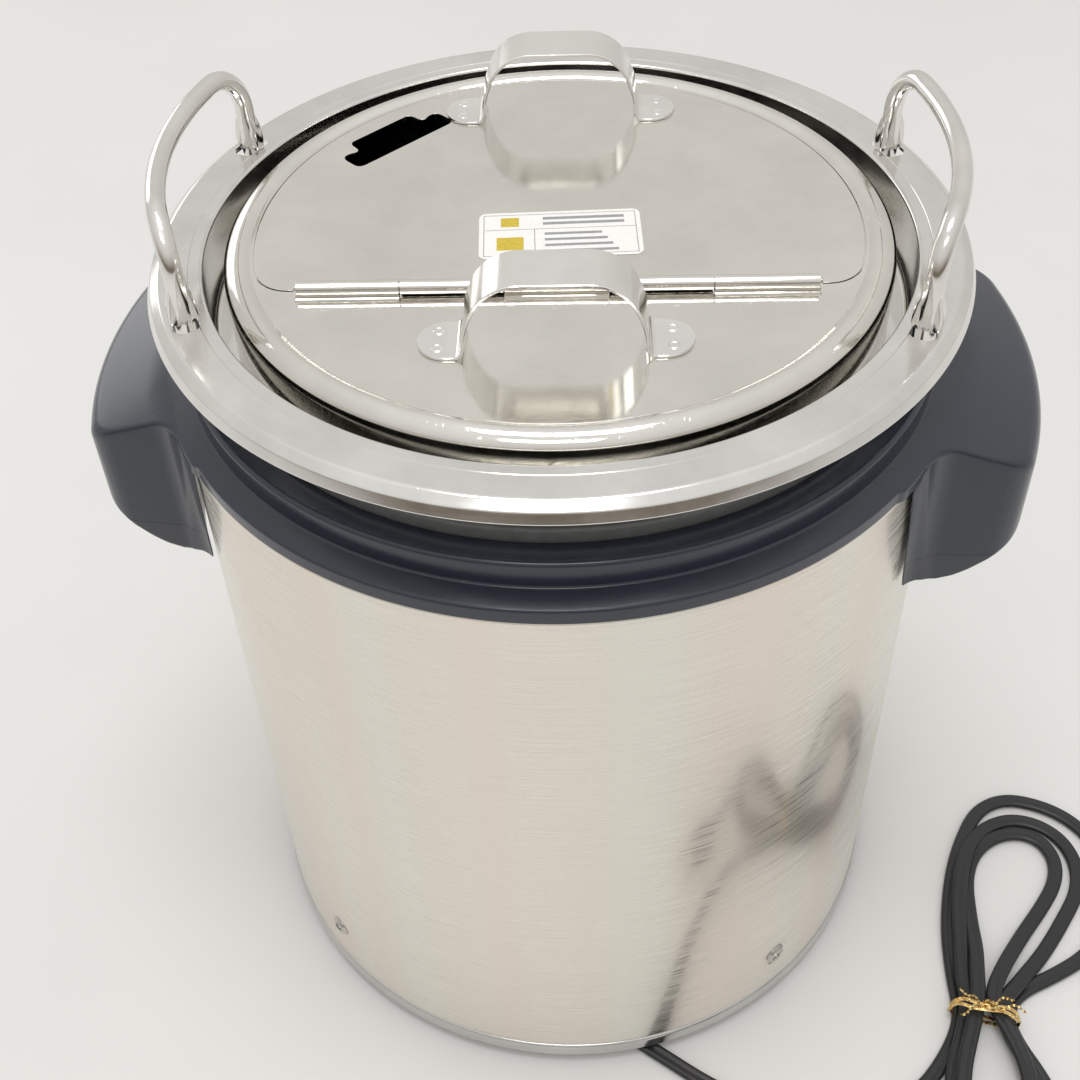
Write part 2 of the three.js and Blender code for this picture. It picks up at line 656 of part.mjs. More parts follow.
function addLid() {
  add(lid, 'lid_base', lidBase(), finishes.lidSteel);
  add(lid, 'lid_flap', lidFlap(), finishes.lidSteel);
  const reach = HINGE_HALF_X + 0.8;
  const pin = rod(HINGE_PIN_R, [-reach, HINGE_Y, HINGE_Z], [reach, HINGE_Y, HINGE_Z], 10);
  add(lid, 'hinge_pin', pin, finishes.screwSteel);
  add(lid, 'rear_strap_handle', strapHandle(REAR_STRAP_Y, LID_TOP), finishes.lidSteel);
  add(lid, 'front_strap_handle', strapHandle(FRONT_STRAP_Y, FLAP_TOP), finishes.lidSteel);
  const sticker = plate(roundedRectangle(28.75, 14.5, 3), FLAP_TOP + GAP, FLAP_TOP + GAP + 0.2, 3);
  add(lid, 'lid_label', turnedBy(sticker, 2.2).translate([-0.9, 5.8, 0]), finishes.label);
}

// ---- Heated well and its parts ----

function well() {
  const outer = WELL_R + WELL_SHEET;
  const flangeTop = SHELF_Z - 2.5 - GAP;
  const floor = WELL_BOTTOM + WELL_SHEET;
  return turned([
    [SENSOR_R + 3, WELL_BOTTOM], [outer - 4.8, WELL_BOTTOM], [outer, WELL_BOTTOM + 4.8],
    [outer, flangeTop - WELL_SHEET], [WELL_FLANGE_R, flangeTop - WELL_SHEET],
    [WELL_FLANGE_R, flangeTop], [WELL_R, flangeTop], [WELL_R, floor + 4.3],
    [WELL_R - 4.3, floor], [SENSOR_R + 3, floor],
  ]);
}

function insulation() {
  const sleeve = tubeWall(126, 139.5, 60, 280, ROUND_INNER);
  return sleeve.subtract(box(-PANEL_HALF_X - 3, PANEL_HALF_X + 3, -150, -100, 50, 136));
}

function sensorCap() {
  const top = POT_BOTTOM - GAP;
  return turned([
    [0, SENSOR_STEM_BOTTOM], [SENSOR_STEM_R, SENSOR_STEM_BOTTOM], [SENSOR_STEM_R, top - 3],
    [SENSOR_R, top - 3], [SENSOR_R, top - 1], [SENSOR_R - 1, top], [0, top],
  ], SMALL_ROUND);
}

class Helix extends THREE.Curve {
  constructor(radius, turns, z0, z1) {
    super();
    Object.assign(this, { radius, turns, z0, z1 });
  }

  getPoint(t, target = new THREE.Vector3()) {
    const angle = 2 * Math.PI * this.turns * t;
    const z = this.z0 + (this.z1 - this.z0) * t;
    return target.set(this.radius * Math.cos(angle), this.radius * Math.sin(angle), z);
  }
}

function sensorSpring() {
  const wire = 1;
  const z0 = BRACKET_Z + 1.5 + GAP + wire / 2;
  const z1 = POT_BOTTOM - GAP - 3 - GAP - wire / 2;
  return barAlong(new Helix(5.5, 4, z0 + 0.2, z1 - 0.2), wire, wire, 4, 44);
}

function sensorBracket() {
  const top = WELL_BOTTOM - GAP;
  const strip = profileAlongY(polygon([
    [-34, top - 1.5], [-28, top - 1.5], [-28, BRACKET_Z], [28, BRACKET_Z], [28, top - 1.5],
    [34, top - 1.5], [34, top], [26.5, top], [26.5, BRACKET_Z + 1.5], [-26.5, BRACKET_Z + 1.5],
    [-26.5, top], [-34, top],
  ]), -9, 9);
  return strip.subtract(disc(SENSOR_STEM_R + 0.6, 0, 60));
}

function powerBoard() {
  const top = PAN_BOTTOM + PAN_SHEET + GAP;
  let board = box(-74, -14, 52, 100, 18, 19.6);
  for (const [x, y] of [[-70, 56], [-18, 56], [-70, 96], [-18, 96]]) {
    board = board.add(disc(2.5, top, 18.5, 8).translate([x, y, 0]));
  }
  return board
    .add(box(-70, -46, 62, 84, 19, 36))
    .add(box(-40, -26, 60, 74, 19, 32))
    .add(rod(6, [-34, 88, 19], [-34, 88, 38], 12))
    .add(rod(4, [-20, 80, 19], [-20, 80, 30], 10));
}

function terminalBlock() {
  const top = PAN_BOTTOM + PAN_SHEET + GAP;
  let block = box(22, 64, 84, 100, top, top + 14);
  for (let i = 0; i < 3; i += 1) {
    block = block.subtract(box(25 + 13 * i, 35 + 13 * i, 80, 92, top + 6, top + 20));
  }
  return block;
}

function addWell() {
  add(kettle, 'heating_well', well(), finishes.sheetSteel);
  const bandR = WELL_R + WELL_SHEET + 0.7;
  add(kettle, 'side_heater', tubeWall(bandR, bandR + 2, 70, 120, ROUND_INNER), finishes.mica);
  add(kettle, 'base_heater', tubeWall(40, 95, 46.2, WELL_BOTTOM - GAP, 32), finishes.mica);
  add(kettle, 'insulation_sleeve', insulation(), finishes.wool);
  add(kettle, 'sensor_cap', sensorCap(), finishes.sheetSteel);
  add(kettle, 'sensor_spring', sensorSpring(), finishes.screwSteel);
  add(kettle, 'sensor_bracket', sensorBracket(), finishes.sheetSteel);
  const fuse = rod(2.2, [-11, 24, 47.4], [11, 24, 47.4], 10);
  add(kettle, 'thermal_fuse', fuse, finishes.screwSteel);
  add(kettle, 'power_board', powerBoard(), finishes.circuitBoard);
  add(kettle, 'terminal_block', terminalBlock(), finishes.faceplate);
  const harness = [[34, 78, 19], [38, 60, 18], [40, 20, 18], [34, -20, 18], [20, -90, 19],
    [6, -122, 30], [0, -134, 48], [0, -135, 60]];
  add(kettle, 'wiring_harness', bar(harness, 6, 6, 6, 16), finishes.cordPvc);
}

// ---- Control panel ----

function curvedPlate(inner, outer, halfX, halfZ) {
  const wall = tubeWall(inner, outer, PANEL_Z - halfZ, PANEL_Z + halfZ);
  return wall.intersect(box(-halfX, halfX, -160, -100, 0, 200));
}

function buttonX(index) {
  return (index - 1) * BUTTON_PITCH;
}

// Each cap stands proud of the highest edge of its hole in the curved faceplate.
function buttonFrontY(index) {
  const nearEdge = Math.max(0, Math.abs(buttonX(index)) - BUTTON_R);
  return -Math.sqrt(FACEPLATE_R ** 2 - nearEdge ** 2) - 0.7;
}

function buttonHoles(grow) {
  const hole = (i) => rod(BUTTON_R + grow, [buttonX(i), -160, BUTTON_Z], [buttonX(i), -136, BUTTON_Z], 20);
  return hole(0).add(hole(1)).add(hole(2));
}

function displayOpening(grow) {
  const outline = roundedRectangle(30 + grow, 11 + grow, 2);
  return profileAlongY(outline, -160, -136, 3).translate([0, 0, PANEL_Z + 14]);
}

function controlHousing() {
  const [x, z] = [WINDOW_HALF_X - 0.5, WINDOW_HALF_Z - 0.5];
  const flange = curvedPlate(JACKET_R + GAP, JACKET_R + GAP + 0.5, PANEL_HALF_X, PANEL_HALF_Z);
  const body = box(-x, x, -144.2, HOUSING_BACK_Y, PANEL_Z - z, PANEL_Z + z)
    .intersect(disc(JACKET_R + GAP + 0.2, 0, 200, ROUND));
  const inside = box(-x + 2, x - 2, -140, HOUSING_BACK_Y + OVERCUT, PANEL_Z - z + 2, PANEL_Z + z - 2)
    .intersect(disc(JACKET_R - 2, 0, 200, ROUND));
  const cableGate = box(-6, 6, -140, -128, PANEL_Z - z - OVERCUT, PANEL_Z - z + 3);
  return flange.add(body).subtract(inside).subtract(buttonHoles(0.4))
    .subtract(displayOpening(0.5)).subtract(cableGate);
}

function button(index) {
  const [x, front] = [buttonX(index), buttonFrontY(index)];
  const cap = rod(BUTTON_R, [x, front, BUTTON_Z], [x, front + 3.5, BUTTON_Z], 20);
  return cap.add(rod(2.5, [x, front + 1, BUTTON_Z], [x, -133.5, BUTTON_Z], 10));
}

function addControls() {
  add(kettle, 'control_housing', controlHousing(), finishes.panelPlastic);
  const inner = JACKET_R + GAP + 0.5 + GAP;
  const plateHalf = [PANEL_HALF_X - 1.5, PANEL_HALF_Z - 1.5];
  const faceplate = curvedPlate(inner, FACEPLATE_R, ...plateHalf)
    .subtract(buttonHoles(0.4)).subtract(displayOpening(0));
  add(kettle, 'control_faceplate', faceplate, finishes.faceplate);
  const window = turned([
    [138, PANEL_Z], [JACKET_R + 0.6, PANEL_Z], [JACKET_R + 0.6, PANEL_Z + 28], [138, PANEL_Z + 28],
  ]).intersect(displayOpening(-GAP)).intersect(box(-40, 40, -160, -138.8, 0, 200));
  add(kettle, 'display_window', window, finishes.display);
  for (let i = 0; i < 3; i += 1) {
    add(kettle, `button_${i + 1}`, button(i), finishes.buttonPlastic);
  }
  const board = box(-40, 40, -132, -130.4, PANEL_Z - 28, PANEL_Z + 28);
  add(kettle, 'control_board', board, finishes.circuitBoard);
}

// ---- Mains cord ----

function alongCord(distance, z) {
  return [CORD_EXIT[0] + CORD_HEADING[0] * distance, CORD_EXIT[1] + CORD_HEADING[1] * distance, z];
}

function bushingPost() {
  return alongCord(-BUSHING_LENGTH + 6, 0);
}

// A strain relief under the pan: a tapered sleeve with a post up through the pan.
function cordBushing() {
  const back = alongCord(-BUSHING_LENGTH, CORD_EXIT[2]);
  const front = alongCord(-GAP, CORD_EXIT[2]);
  const sleeve = barAlong(new THREE.LineCurve3(new THREE.Vector3(...back), new THREE.Vector3(...front)),
    8, 12, 12, 1);
  const [x, y] = bushingPost();
  const collar = disc(9, 8, PAN_BOTTOM - GAP, 20).translate([x, y, 0]);
  return sleeve.add(collar).add(disc(6, 5, 18, 16).translate([x, y, 0]));
}

// From the bushing down to the table, out under the base ring and round to the hank.
function cordRoute() {
  return [
    alongCord(0, CORD_EXIT[2]), alongCord(5, 4.9), alongCord(11, 3.1), alongCord(17, CORD_LIE_Z),
    alongCord(26, CORD_LIE_Z), [-57, 143.5, CORD_LIE_Z], [-68.2, 149.9, CORD_LIE_Z],
    [-88, 159.5, CORD_LIE_Z], [-108, 165, CORD_LIE_Z], [-130, 165.5, CORD_LIE_Z],
    [-149, 159, CORD_LIE_Z], [-164, 146, CORD_LIE_Z],
  ];
}

// Plan of the tied hank: a long far lobe, a waist under the tie and a short near lobe.
function hankOutline() {
  const points = [
    [-180.5, 112], [-179, 90], [-180, 62], [-184, 36], [-194, 8], [-205, -11], [-220, -16],
    [-242, -10], [-262, 4], [-272, 26], [-270, 52], [-256, 76], [-232, 92], [-212, 107],
    [-214, 122], [-221, 138], [-226, 156], [-221, 172], [-207, 181], [-188, 181], [-173, 172],
    [-167, 156], [-170, 140], [-177, 126],
  ];
  return new THREE.SplineCurve(points.map(([x, y]) => new THREE.Vector2(x, y)));
}

function hank() {
  const loop = hankOutline().points;
  const outline = new THREE.Shape();
  outline.setFromPoints(loop);
  return plate(outline, 0, HANK_HEIGHT);
}

// A flat two-pin plug lying on the table, its flex side towards the hank.
function plugBody() {
  const outline = roundedRectangle(9, 12, 4);
  const body = plate(outline, 0, 11, 4);
  const neck = box(-3.8, 3.8, 9, 20, 3, 8);
  return body.add(neck);
}

function addCord() {
  add(kettle, 'cord_bushing', cordBushing(), finishes.rubber);
  const flex = bar(cordRoute(), CORD_THICKNESS, CORD_WIDTH, 8, 16);
  add(kettle, 'power_cord', flex, finishes.cordPvc);
  add(kettle, 'cord_hank', hank(), finishes.cordPvc);
  const tie = rod(1, [-183, 108, HANK_HEIGHT + 1.4], [-207, 113, HANK_HEIGHT + 1.4], 8);
  add(kettle, 'cord_tie', tie, finishes.tieFoil);
  const place = (shape) => turnedBy(shape, 84).translate([-143, 186, 0]);
  add(kettle, 'plug_body', place(plugBody()), finishes.cordPvc);
  [-1, 1].forEach((side, i) => {
    const blade = box(side * 6.35 - 0.75, side * 6.35 + 0.75, -30, -12 - GAP, 2.5, 8.5);
    add(kettle, `plug_blade_${i + 1}`, place(blade), finishes.brass);
  });
}

addJacketAndBase();
addRing();
addPot();
addLid();
addWell();
addControls();
addCord();

export default kettle;
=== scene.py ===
"""Looks for the soup kettle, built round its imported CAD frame.

The frame is in metres, +Z up, control panel at -Y, cord at +Y, carrying handles along X.
Sizes below are millimetres, and MM turns them into metres where a mesh is made.
"""

import math
from math import acos, asin, atan2, copysign, cos, hypot, pi, radians, sin, sqrt

import bmesh
import bpy
import numpy as np
from mathutils import Matrix, Vector


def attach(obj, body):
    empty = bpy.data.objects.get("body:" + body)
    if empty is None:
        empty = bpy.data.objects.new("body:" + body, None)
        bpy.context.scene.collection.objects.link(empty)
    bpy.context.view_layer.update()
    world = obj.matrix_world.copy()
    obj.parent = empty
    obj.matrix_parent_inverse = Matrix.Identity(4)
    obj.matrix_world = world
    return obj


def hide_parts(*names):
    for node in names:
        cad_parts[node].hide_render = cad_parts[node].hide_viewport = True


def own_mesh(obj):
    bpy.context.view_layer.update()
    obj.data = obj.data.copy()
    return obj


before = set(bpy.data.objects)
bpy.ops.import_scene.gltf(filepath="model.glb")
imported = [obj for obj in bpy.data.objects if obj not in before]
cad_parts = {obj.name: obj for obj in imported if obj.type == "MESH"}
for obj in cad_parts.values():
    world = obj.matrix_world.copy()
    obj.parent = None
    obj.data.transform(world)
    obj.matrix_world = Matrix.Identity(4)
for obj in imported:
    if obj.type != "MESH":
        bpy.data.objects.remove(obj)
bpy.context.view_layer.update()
MM = 0.001
TAU = 2 * pi

# ---------------- sizes

JACKET_R = 143.7
JACKET_BOTTOM = 13.9
JACKET_TOP = 294.0
JACKET_BEAD_R = 145.6
BASE_RING_R = 144.3
BASE_LIFT = 4.5
BASE_RING_TOP = 12.7
FOOT_CIRCLE = 112
SCREW_ANGLE = 46.35
SCREW_Z = 34.5
SCREW_ANGLES = (SCREW_ANGLE, 180 - SCREW_ANGLE, 180 + SCREW_ANGLE, 360 - SCREW_ANGLE)
RING_R = 146.0
COLLAR_R = 138.2
COLLAR_TOP = 312.9
COLLAR_BORE_R = 128.2
SHELF_R = 121.6
SHELF_Z = 306.5
HANDLE_R = 178.0
HANDLE_SPLIT_Z = 248.0
PARTING = 0.07
POT_TURN = 1.8
POT_BOTTOM = 62.0
POT_R = 116.8
POT_MOUTH_R = 127.3
POT_STEP_Z = 317.7
FLANGE_R = 145.0
FLANGE_TOP = 343.2
LID_TURN = 4.0
LID_TOP = 344.5
LID_R = 119.0
LEDGE_R = 101.5
LEDGE_TOP = 343.4
FLAP_R = 107.5
FLAP_REAR_Y = 37.7
FLAP_CORNER = 13.0
FLAP_TOP = 344.7
HINGE_Y = 40.0
HINGE_Z = 347.0
HINGE_HALF_X = 88.0
CORD_WIDTH = 7.0
CORD_THICKNESS = 3.4
LIE = CORD_THICKNESS / 2 + 0.25

# ---------------- mesh tools


def add(name, data):
    obj = bpy.data.objects.new(name, data)
    bpy.context.scene.collection.objects.link(obj)
    return obj


def smooth(obj, angle=32):
    obj.data.shade_smooth()
    obj.data.set_sharp_from_angle(angle=radians(angle))
    obj.modifiers.new("even_normals", "WEIGHTED_NORMAL").keep_sharp = True
    return obj


def reshaped(obj, change):
    """Runs change on the object's mesh, opened as a bmesh."""
    shape = bmesh.new()
    shape.from_mesh(obj.data)
    change(shape)
    shape.to_mesh(obj.data)
    shape.free()
    return obj


def outward(obj):
    def change(shape):
        bmesh.ops.remove_doubles(shape, verts=shape.verts, dist=1e-6)
        bmesh.ops.recalc_face_normals(shape, faces=shape.faces)

    return reshaped(obj, change)


def evaluated(obj):
    """A new mesh of the object with its modifiers or curve settings applied."""
    bpy.context.view_layer.update()
    return bpy.data.meshes.new_from_object(obj.evaluated_get(bpy.context.evaluated_depsgraph_get()))


def circle(count):
    """Evenly spaced angles all the way round."""
    return [TAU * k / count for k in range(count)]


def spin(degrees, axis="Z"):
    return Matrix.Rotation(radians(degrees), 4, axis)


def shift(x=0, y=0, z=0):
    return Matrix.Translation((x * MM, y * MM, z * MM))


def squarish(value, power):
    """A sine or cosine bent so that a round section gets flatter sides."""
    return copysign(abs(value) ** power, value)


def piece(name, points, faces, angle=32):
    """A mesh object from millimetre points."""
    mesh = bpy.data.meshes.new(name)
    mesh.from_pydata([[c * MM for c in p] for p in points], [], faces)
    mesh.validate()
    return smooth(outward(add(name, mesh)), angle)


def fillet(before, corner, after, radius, steps=None, step=14):
    """The arc that rounds one corner, as steps + 1 points."""
    corner = np.array(corner, float)
    back = np.array(before, float) - corner
    ahead = np.array(after, float) - corner
    back /= np.linalg.norm(back)
    ahead /= np.linalg.norm(ahead)
    half = acos(float(np.clip(back @ ahead, -1, 1))) / 2
    centre = corner + (back + ahead) / np.linalg.norm(back + ahead) * radius / sin(half)
    start = corner + back * radius / math.tan(half) - centre
    end = corner + ahead * radius / math.tan(half) - centre
    first = atan2(start[1], start[0])
    swing = (atan2(end[1], end[0]) - first + pi) % TAU - pi
    steps = steps or max(2, math.ceil(abs(math.degrees(swing)) / step))
    angles = [first + swing * k / steps for k in range(steps + 1)]
    return [centre + radius * np.array([cos(a), sin(a)]) for a in angles]


def rounded(corners, closed=True, step=14):
    """[x, y, radius] corners as a line of [x, y] points with round corners."""
    line = []
    count = len(corners)
    for i, (x, y, radius) in enumerate(corners):
        if radius == 0 or (not closed and i in (0, count - 1)):
            line.append(np.array([x, y], float))
        else:
            line += fillet(corners[i - 1][:2], (x, y), corners[(i + 1) % count][:2], radius, step=step)
    return line


def grid_faces(rows, columns, wrap_rows=False):
    """Quads over a grid of points, closed along its columns."""
    faces = []
    for i in range(rows if wrap_rows else rows - 1):
        for j in range(columns):
            a, b = i * columns, (i + 1) % rows * columns
            k = (j + 1) % columns
            faces.append((a + j, a + k, b + k, b + j))
    return faces


def lathe(name, profile, columns=192, angle=32):
    """Turns a closed loop of radius and height about Z, or a line that starts and ends on the axis."""
    on_axis = profile[0][0] < 1e-6 and profile[-1][0] < 1e-6
    body = profile[1:-1] if on_axis else profile
    points = [[r * cos(a), r * sin(a), z] for r, z in body for a in circle(columns)]
    faces = grid_faces(len(body), columns, wrap_rows=not on_axis)
    if on_axis:
        for pole, row in ((profile[0], 0), (profile[-1], len(body) - 1)):
            points.append([0, 0, pole[1]])
            tip = len(points) - 1
            start = row * columns
            faces += [(tip, start + j, start + (j + 1) % columns) for j in range(columns)]
    return piece(name, points, faces, angle)


def spindle(name, corners, columns, step=14):
    """A solid turned from [radius, height, rounding] corners that start and end on the axis."""
    return lathe(name, rounded(corners, closed=False, step=step), columns)


def skin(name, sections, angle=40, closed=False):
    """Joins a list of closed sections, each a list of points, and caps both ends."""
    columns = len(sections[0])
    points = [p for section in sections for p in section]
    faces = grid_faces(len(sections), columns, wrap_rows=closed)
    if not closed:
        faces.append(tuple(range(columns)))
        last = (len(sections) - 1) * columns
        faces.append(tuple(last + j for j in reversed(range(columns))))
    return piece(name, points, faces, angle)


def plate(name, outlines, z0, z1, bevel=0.12):
    """A flat plate from closed outlines in X and Y (the first is the edge, the rest are holes)."""
    curve = bpy.data.curves.new(name, "CURVE")
    curve.dimensions = "2D"
    curve.fill_mode = "BOTH"
    curve.extrude = ((z1 - z0) / 2 - bevel) * MM
    curve.bevel_depth = bevel * MM
    curve.bevel_resolution = 2
    curve.offset = -bevel * MM
    for outline in outlines:
        spline = curve.splines.new("POLY")
        spline.points.add(len(outline) - 1)
        for point, (x, y) in zip(spline.points, outline):
            point.co = (x * MM, y * MM, 0, 1)
        spline.use_cyclic_u = True
    drawn = add(name + "_drawn", curve)
    mesh = evaluated(drawn)
    bpy.data.objects.remove(drawn)
    mesh.transform(Matrix.Translation((0, 0, (z0 + z1) / 2 * MM)))
    mesh.name = name
    return smooth(outward(add(name, mesh)))


def box_outline(x0, y0, x1, y1):
    return [(x0, y0), (x1, y0), (x1, y1), (x0, y1)]


def round_box(half_x, half_y, radius):
    return rounded([[-half_x, -half_y, radius], [half_x, -half_y, radius], [half_x, half_y, radius],
                    [-half_x, half_y, radius]])


def cut(obj, cutter):
    """Cuts obj with another closed mesh, and removes that mesh."""
    obj.modifiers.clear()
    modifier = obj.modifiers.new("cut", "BOOLEAN")
    modifier.operation = "DIFFERENCE"
    modifier.solver = "EXACT"
    modifier.object = cutter
    mesh = evaluated(obj)
    obj.modifiers.clear()
    obj.data = mesh
    bpy.data.objects.remove(cutter)
    return smooth(obj)


def merged(name, parts, angle=32):
    """One object from several separate closed meshes."""
    shape = bmesh.new()
    for part in parts:
        part.data.transform(part.matrix_world)
        shape.from_mesh(part.data)
        bpy.data.objects.remove(part)
    mesh = bpy.data.meshes.new(name)
    shape.to_mesh(mesh)
    shape.free()
    return smooth(add(name, mesh), angle)


def placed(obj, matrix):
    obj.data.transform(matrix)
    return obj


def turned(obj, degrees, axis="Z"):
    return placed(obj, spin(degrees, axis))


def moved(obj, x=0, y=0, z=0):
    return placed(obj, shift(x, y, z))


def settle(obj, body, slot, finish, *nodes):
    """Gives a piece its body and its finish, and hides the CAD nodes that it stands for. The slot is not
    used.
    """
    obj.data.materials.clear()
    obj.data.materials.append(FINISHES[finish])
    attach(obj, body)
    if nodes:
        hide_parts(*nodes)
    return obj


def smooth_line(points, step=2.0):
    """An evenly stepped smooth line through points of any dimension."""
    p = np.array(points, float)
    p = np.vstack([2 * p[0] - p[1], p, 2 * p[-1] - p[-2]])
    fine = []
    for i in range(1, len(p) - 2):
        for t in np.linspace(0, 1, 24, endpoint=False):
            a, b, c, d = p[i - 1:i + 3]
            fine.append(0.5 * (2 * b + (c - a) * t + (2 * a - 5 * b + 4 * c - d) * t ** 2
                               + (3 * b - a - 3 * c + d) * t ** 3))
    fine = np.array(fine + [p[-2]])
    return evenly(fine, step)


def evenly(line, step):
    line = np.array(line, float)
    gaps = np.linalg.norm(np.diff(line, axis=0), axis=1)
    along = np.concatenate([[0], np.cumsum(gaps)])
    count = max(2, int(round(along[-1] / step)) + 1)
    marks = np.linspace(0, along[-1], count)
    return np.stack([np.interp(marks, along, line[:, k]) for k in range(line.shape[1])], axis=1)


def directions(line):
    ahead = np.gradient(line, axis=0)
    return ahead / np.linalg.norm(ahead, axis=1)[:, None]


# ---------------- materials


# Round figures for the body's and the lid's radius, to turn angles into lengths.
BODY_METRES = 0.14
LID_METRES = 0.12


class Graph:
    """Small helpers for a node tree."""

    def __init__(self, owner):
        owner.use_nodes = True
        self.nodes = owner.node_tree.nodes
        self.links = owner.node_tree.links

    def fill(self, made, inputs):
        for key, value in dict(inputs).items():
            if isinstance(value, bpy.types.NodeSocket):
                self.links.new(value, made.inputs[key])
            else:
                made.inputs[key].default_value = value
        return made

    def node(self, kind, inputs=(), **settings):
        made = self.nodes.new("ShaderNode" + kind)
        for key, value in settings.items():
            setattr(made, key, value)
        return self.fill(made, inputs)

    def math(self, operation, a, b=0.0):
        return self.node("Math", {0: a, 1: b}, operation=operation).outputs[0]

    def span(self, value, low, high, from_low=0.0, from_high=1.0):
        return self.node("MapRange", {
            "Value": value, "From Min": from_low, "From Max": from_high, "To Min": low, "To Max": high,
        }).outputs[0]

    def mix(self, factor, a, b):
        a, b = (c if isinstance(c, bpy.types.NodeSocket) else (*c, 1) for c in (a, b))
        return self.node("Mix", {0: factor, 6: a, 7: b}, data_type="RGBA").outputs[2]

    def ramp(self, value, stops):
        ramp = self.node("ValToRGB", {0: value})
        while len(ramp.color_ramp.elements) < len(stops):
            ramp.color_ramp.elements.new(0.5)
        for element, (at_value, color) in zip(ramp.color_ramp.elements, stops):
            element.position = at_value
            element.color = (*color, 1)
        return ramp.outputs[0]


class Finish(Graph):
    """A Principled material with small helpers for its procedural nodes."""

    def __init__(self, name, color, rough, metal=0.0, **sockets):
        self.material = bpy.data.materials.new(name)
        super().__init__(self.material)
        self.shader = self.fill(self.nodes["Principled BSDF"], {
            "Base Color": (*color, 1), "Roughness": rough, "Metallic": metal, **sockets})
        self.place = self.node("TexCoord").outputs["Object"]
        self.normal = None

    def round_the_body(self, around=1.0, up=1.0):
        """Coordinates (metres round the axis, metres up, 0), each scaled."""
        split = self.node("SeparateXYZ", {0: self.place})
        angle = self.math("ARCTAN2", split.outputs[1], split.outputs[0])
        return self.node("CombineXYZ", {
            0: self.math("MULTIPLY", angle, BODY_METRES * around),
            1: self.math("MULTIPLY", split.outputs[2], up),
        }).outputs[0]

    def from_axis(self, across=1.0, around=1.0):
        """Coordinates (metres from the axis, metres round it, 0), each scaled."""
        split = self.node("SeparateXYZ", {0: self.place})
        x, y = split.outputs[0], split.outputs[1]
        squares = [self.math("MULTIPLY", c, c) for c in (x, y)]
        radius = self.math("SQRT", self.math("ADD", *squares))
        angle = self.math("ARCTAN2", y, x)
        return self.node("CombineXYZ", {
            0: self.math("MULTIPLY", radius, across),
            1: self.math("MULTIPLY", angle, LID_METRES * around),
        }).outputs[0]

    def scaled(self, x, y, z, turn=0.0):
        return self.node("Mapping", {
            "Vector": self.place, "Scale": (x, y, z), "Rotation": (0, 0, radians(turn)),
        }).outputs[0]

    def noise(self, where, scale, detail=4, rough=0.55):
        return self.node("TexNoise", {
            "Vector": where, "Scale": scale, "Detail": detail, "Roughness": rough,
        }).outputs["Fac"]

    def spots(self, scale, detail=4, rough=0.55):
        """Noise alike in all directions."""
        return self.noise(self.scaled(1, 1, 1), scale, detail, rough)

    def color(self, socket):
        self.links.new(socket, self.shader.inputs["Base Color"])
        return self

    def shade(self, value, low, high, dark, light):
        """Colour going from dark to light as value goes from low to high."""
        return self.color(self.mix(self.span(value, 0, 1, low, high), dark, light))

    def rough(self, socket):
        self.links.new(socket, self.shader.inputs["Roughness"])
        return self

    def bump(self, height, distance, strength=1.0):
        """Adds a layer of relief, its distance in millimetres."""
        inputs = {"Height": height, "Distance": distance * MM, "Strength": strength}
        if self.normal is not None:
            inputs["Normal"] = self.normal
        self.normal = self.node("Bump", inputs).outputs[0]
        self.links.new(self.normal, self.shader.inputs["Normal"])
        return self


def tones(color, dark, light):
    return [[min(1, c * k) for c in color] for k in (dark, light)]


def sheet_finish(name, color, rough, warp=0.15, scratches=0.6):
    """Satin mirror steel: slight waves, fine rolled grain, smudges and hair scratches."""
    f = Finish(name, color, rough, 1.0)
    smudge = f.spots(26, 5, 0.6)
    hair = f.noise(f.scaled(9, 1.2, 3, 31), 210, 2, 0.5)
    hair_two = f.noise(f.scaled(1.1, 8, 3, -24), 190, 2, 0.5)
    grain = f.noise(f.scaled(1, 40, 1), 160, 2, 0.5)
    f.shade(smudge, 0.35, 0.7, *tones(color, 0.93, 1.04))
    worn = f.math("ADD", f.span(smudge, rough * 0.75, rough * 1.5, 0.3, 0.72),
                  f.span(grain, -0.012, 0.02, 0.3, 0.7))
    f.rough(worn)
    f.bump(f.spots(7, 2), warp)
    f.bump(grain, 0.006)
    f.bump(f.span(hair, 0, 1, 0.66, 0.8), -0.03, scratches)
    f.bump(f.span(hair_two, 0, 1, 0.68, 0.8), -0.03, scratches)
    f.bump(f.span(f.noise(f.scaled(1, 1.6, 1, 50), 330, 3, 0.6), 0, 1, 0.7, 0.78), -0.06, scratches)
    return f.material


def turned_finish(name, color, rough, warp=0.25):
    """Steel polished on a lathe: fine rings, small glints and dents."""
    f = Finish(name, color, rough, 1.0)
    rings = f.noise(f.from_axis(1, 0.02), 900, 3, 0.6)
    smudge = f.spots(34, 5, 0.6)
    pits = f.spots(420, 2, 0.5)
    f.shade(smudge, 0.35, 0.7, *tones(color, 0.92, 1.05))
    f.rough(f.math("ADD", f.span(smudge, rough * 0.7, rough * 1.5, 0.3, 0.72),
                   f.span(rings, -0.03, 0.04, 0.3, 0.7)))
    f.bump(f.spots(11, 2), warp)
    f.bump(rings, 0.008)
    f.bump(f.span(pits, 0, 1, 0.72, 0.8), -0.05, 0.5)
    return f.material


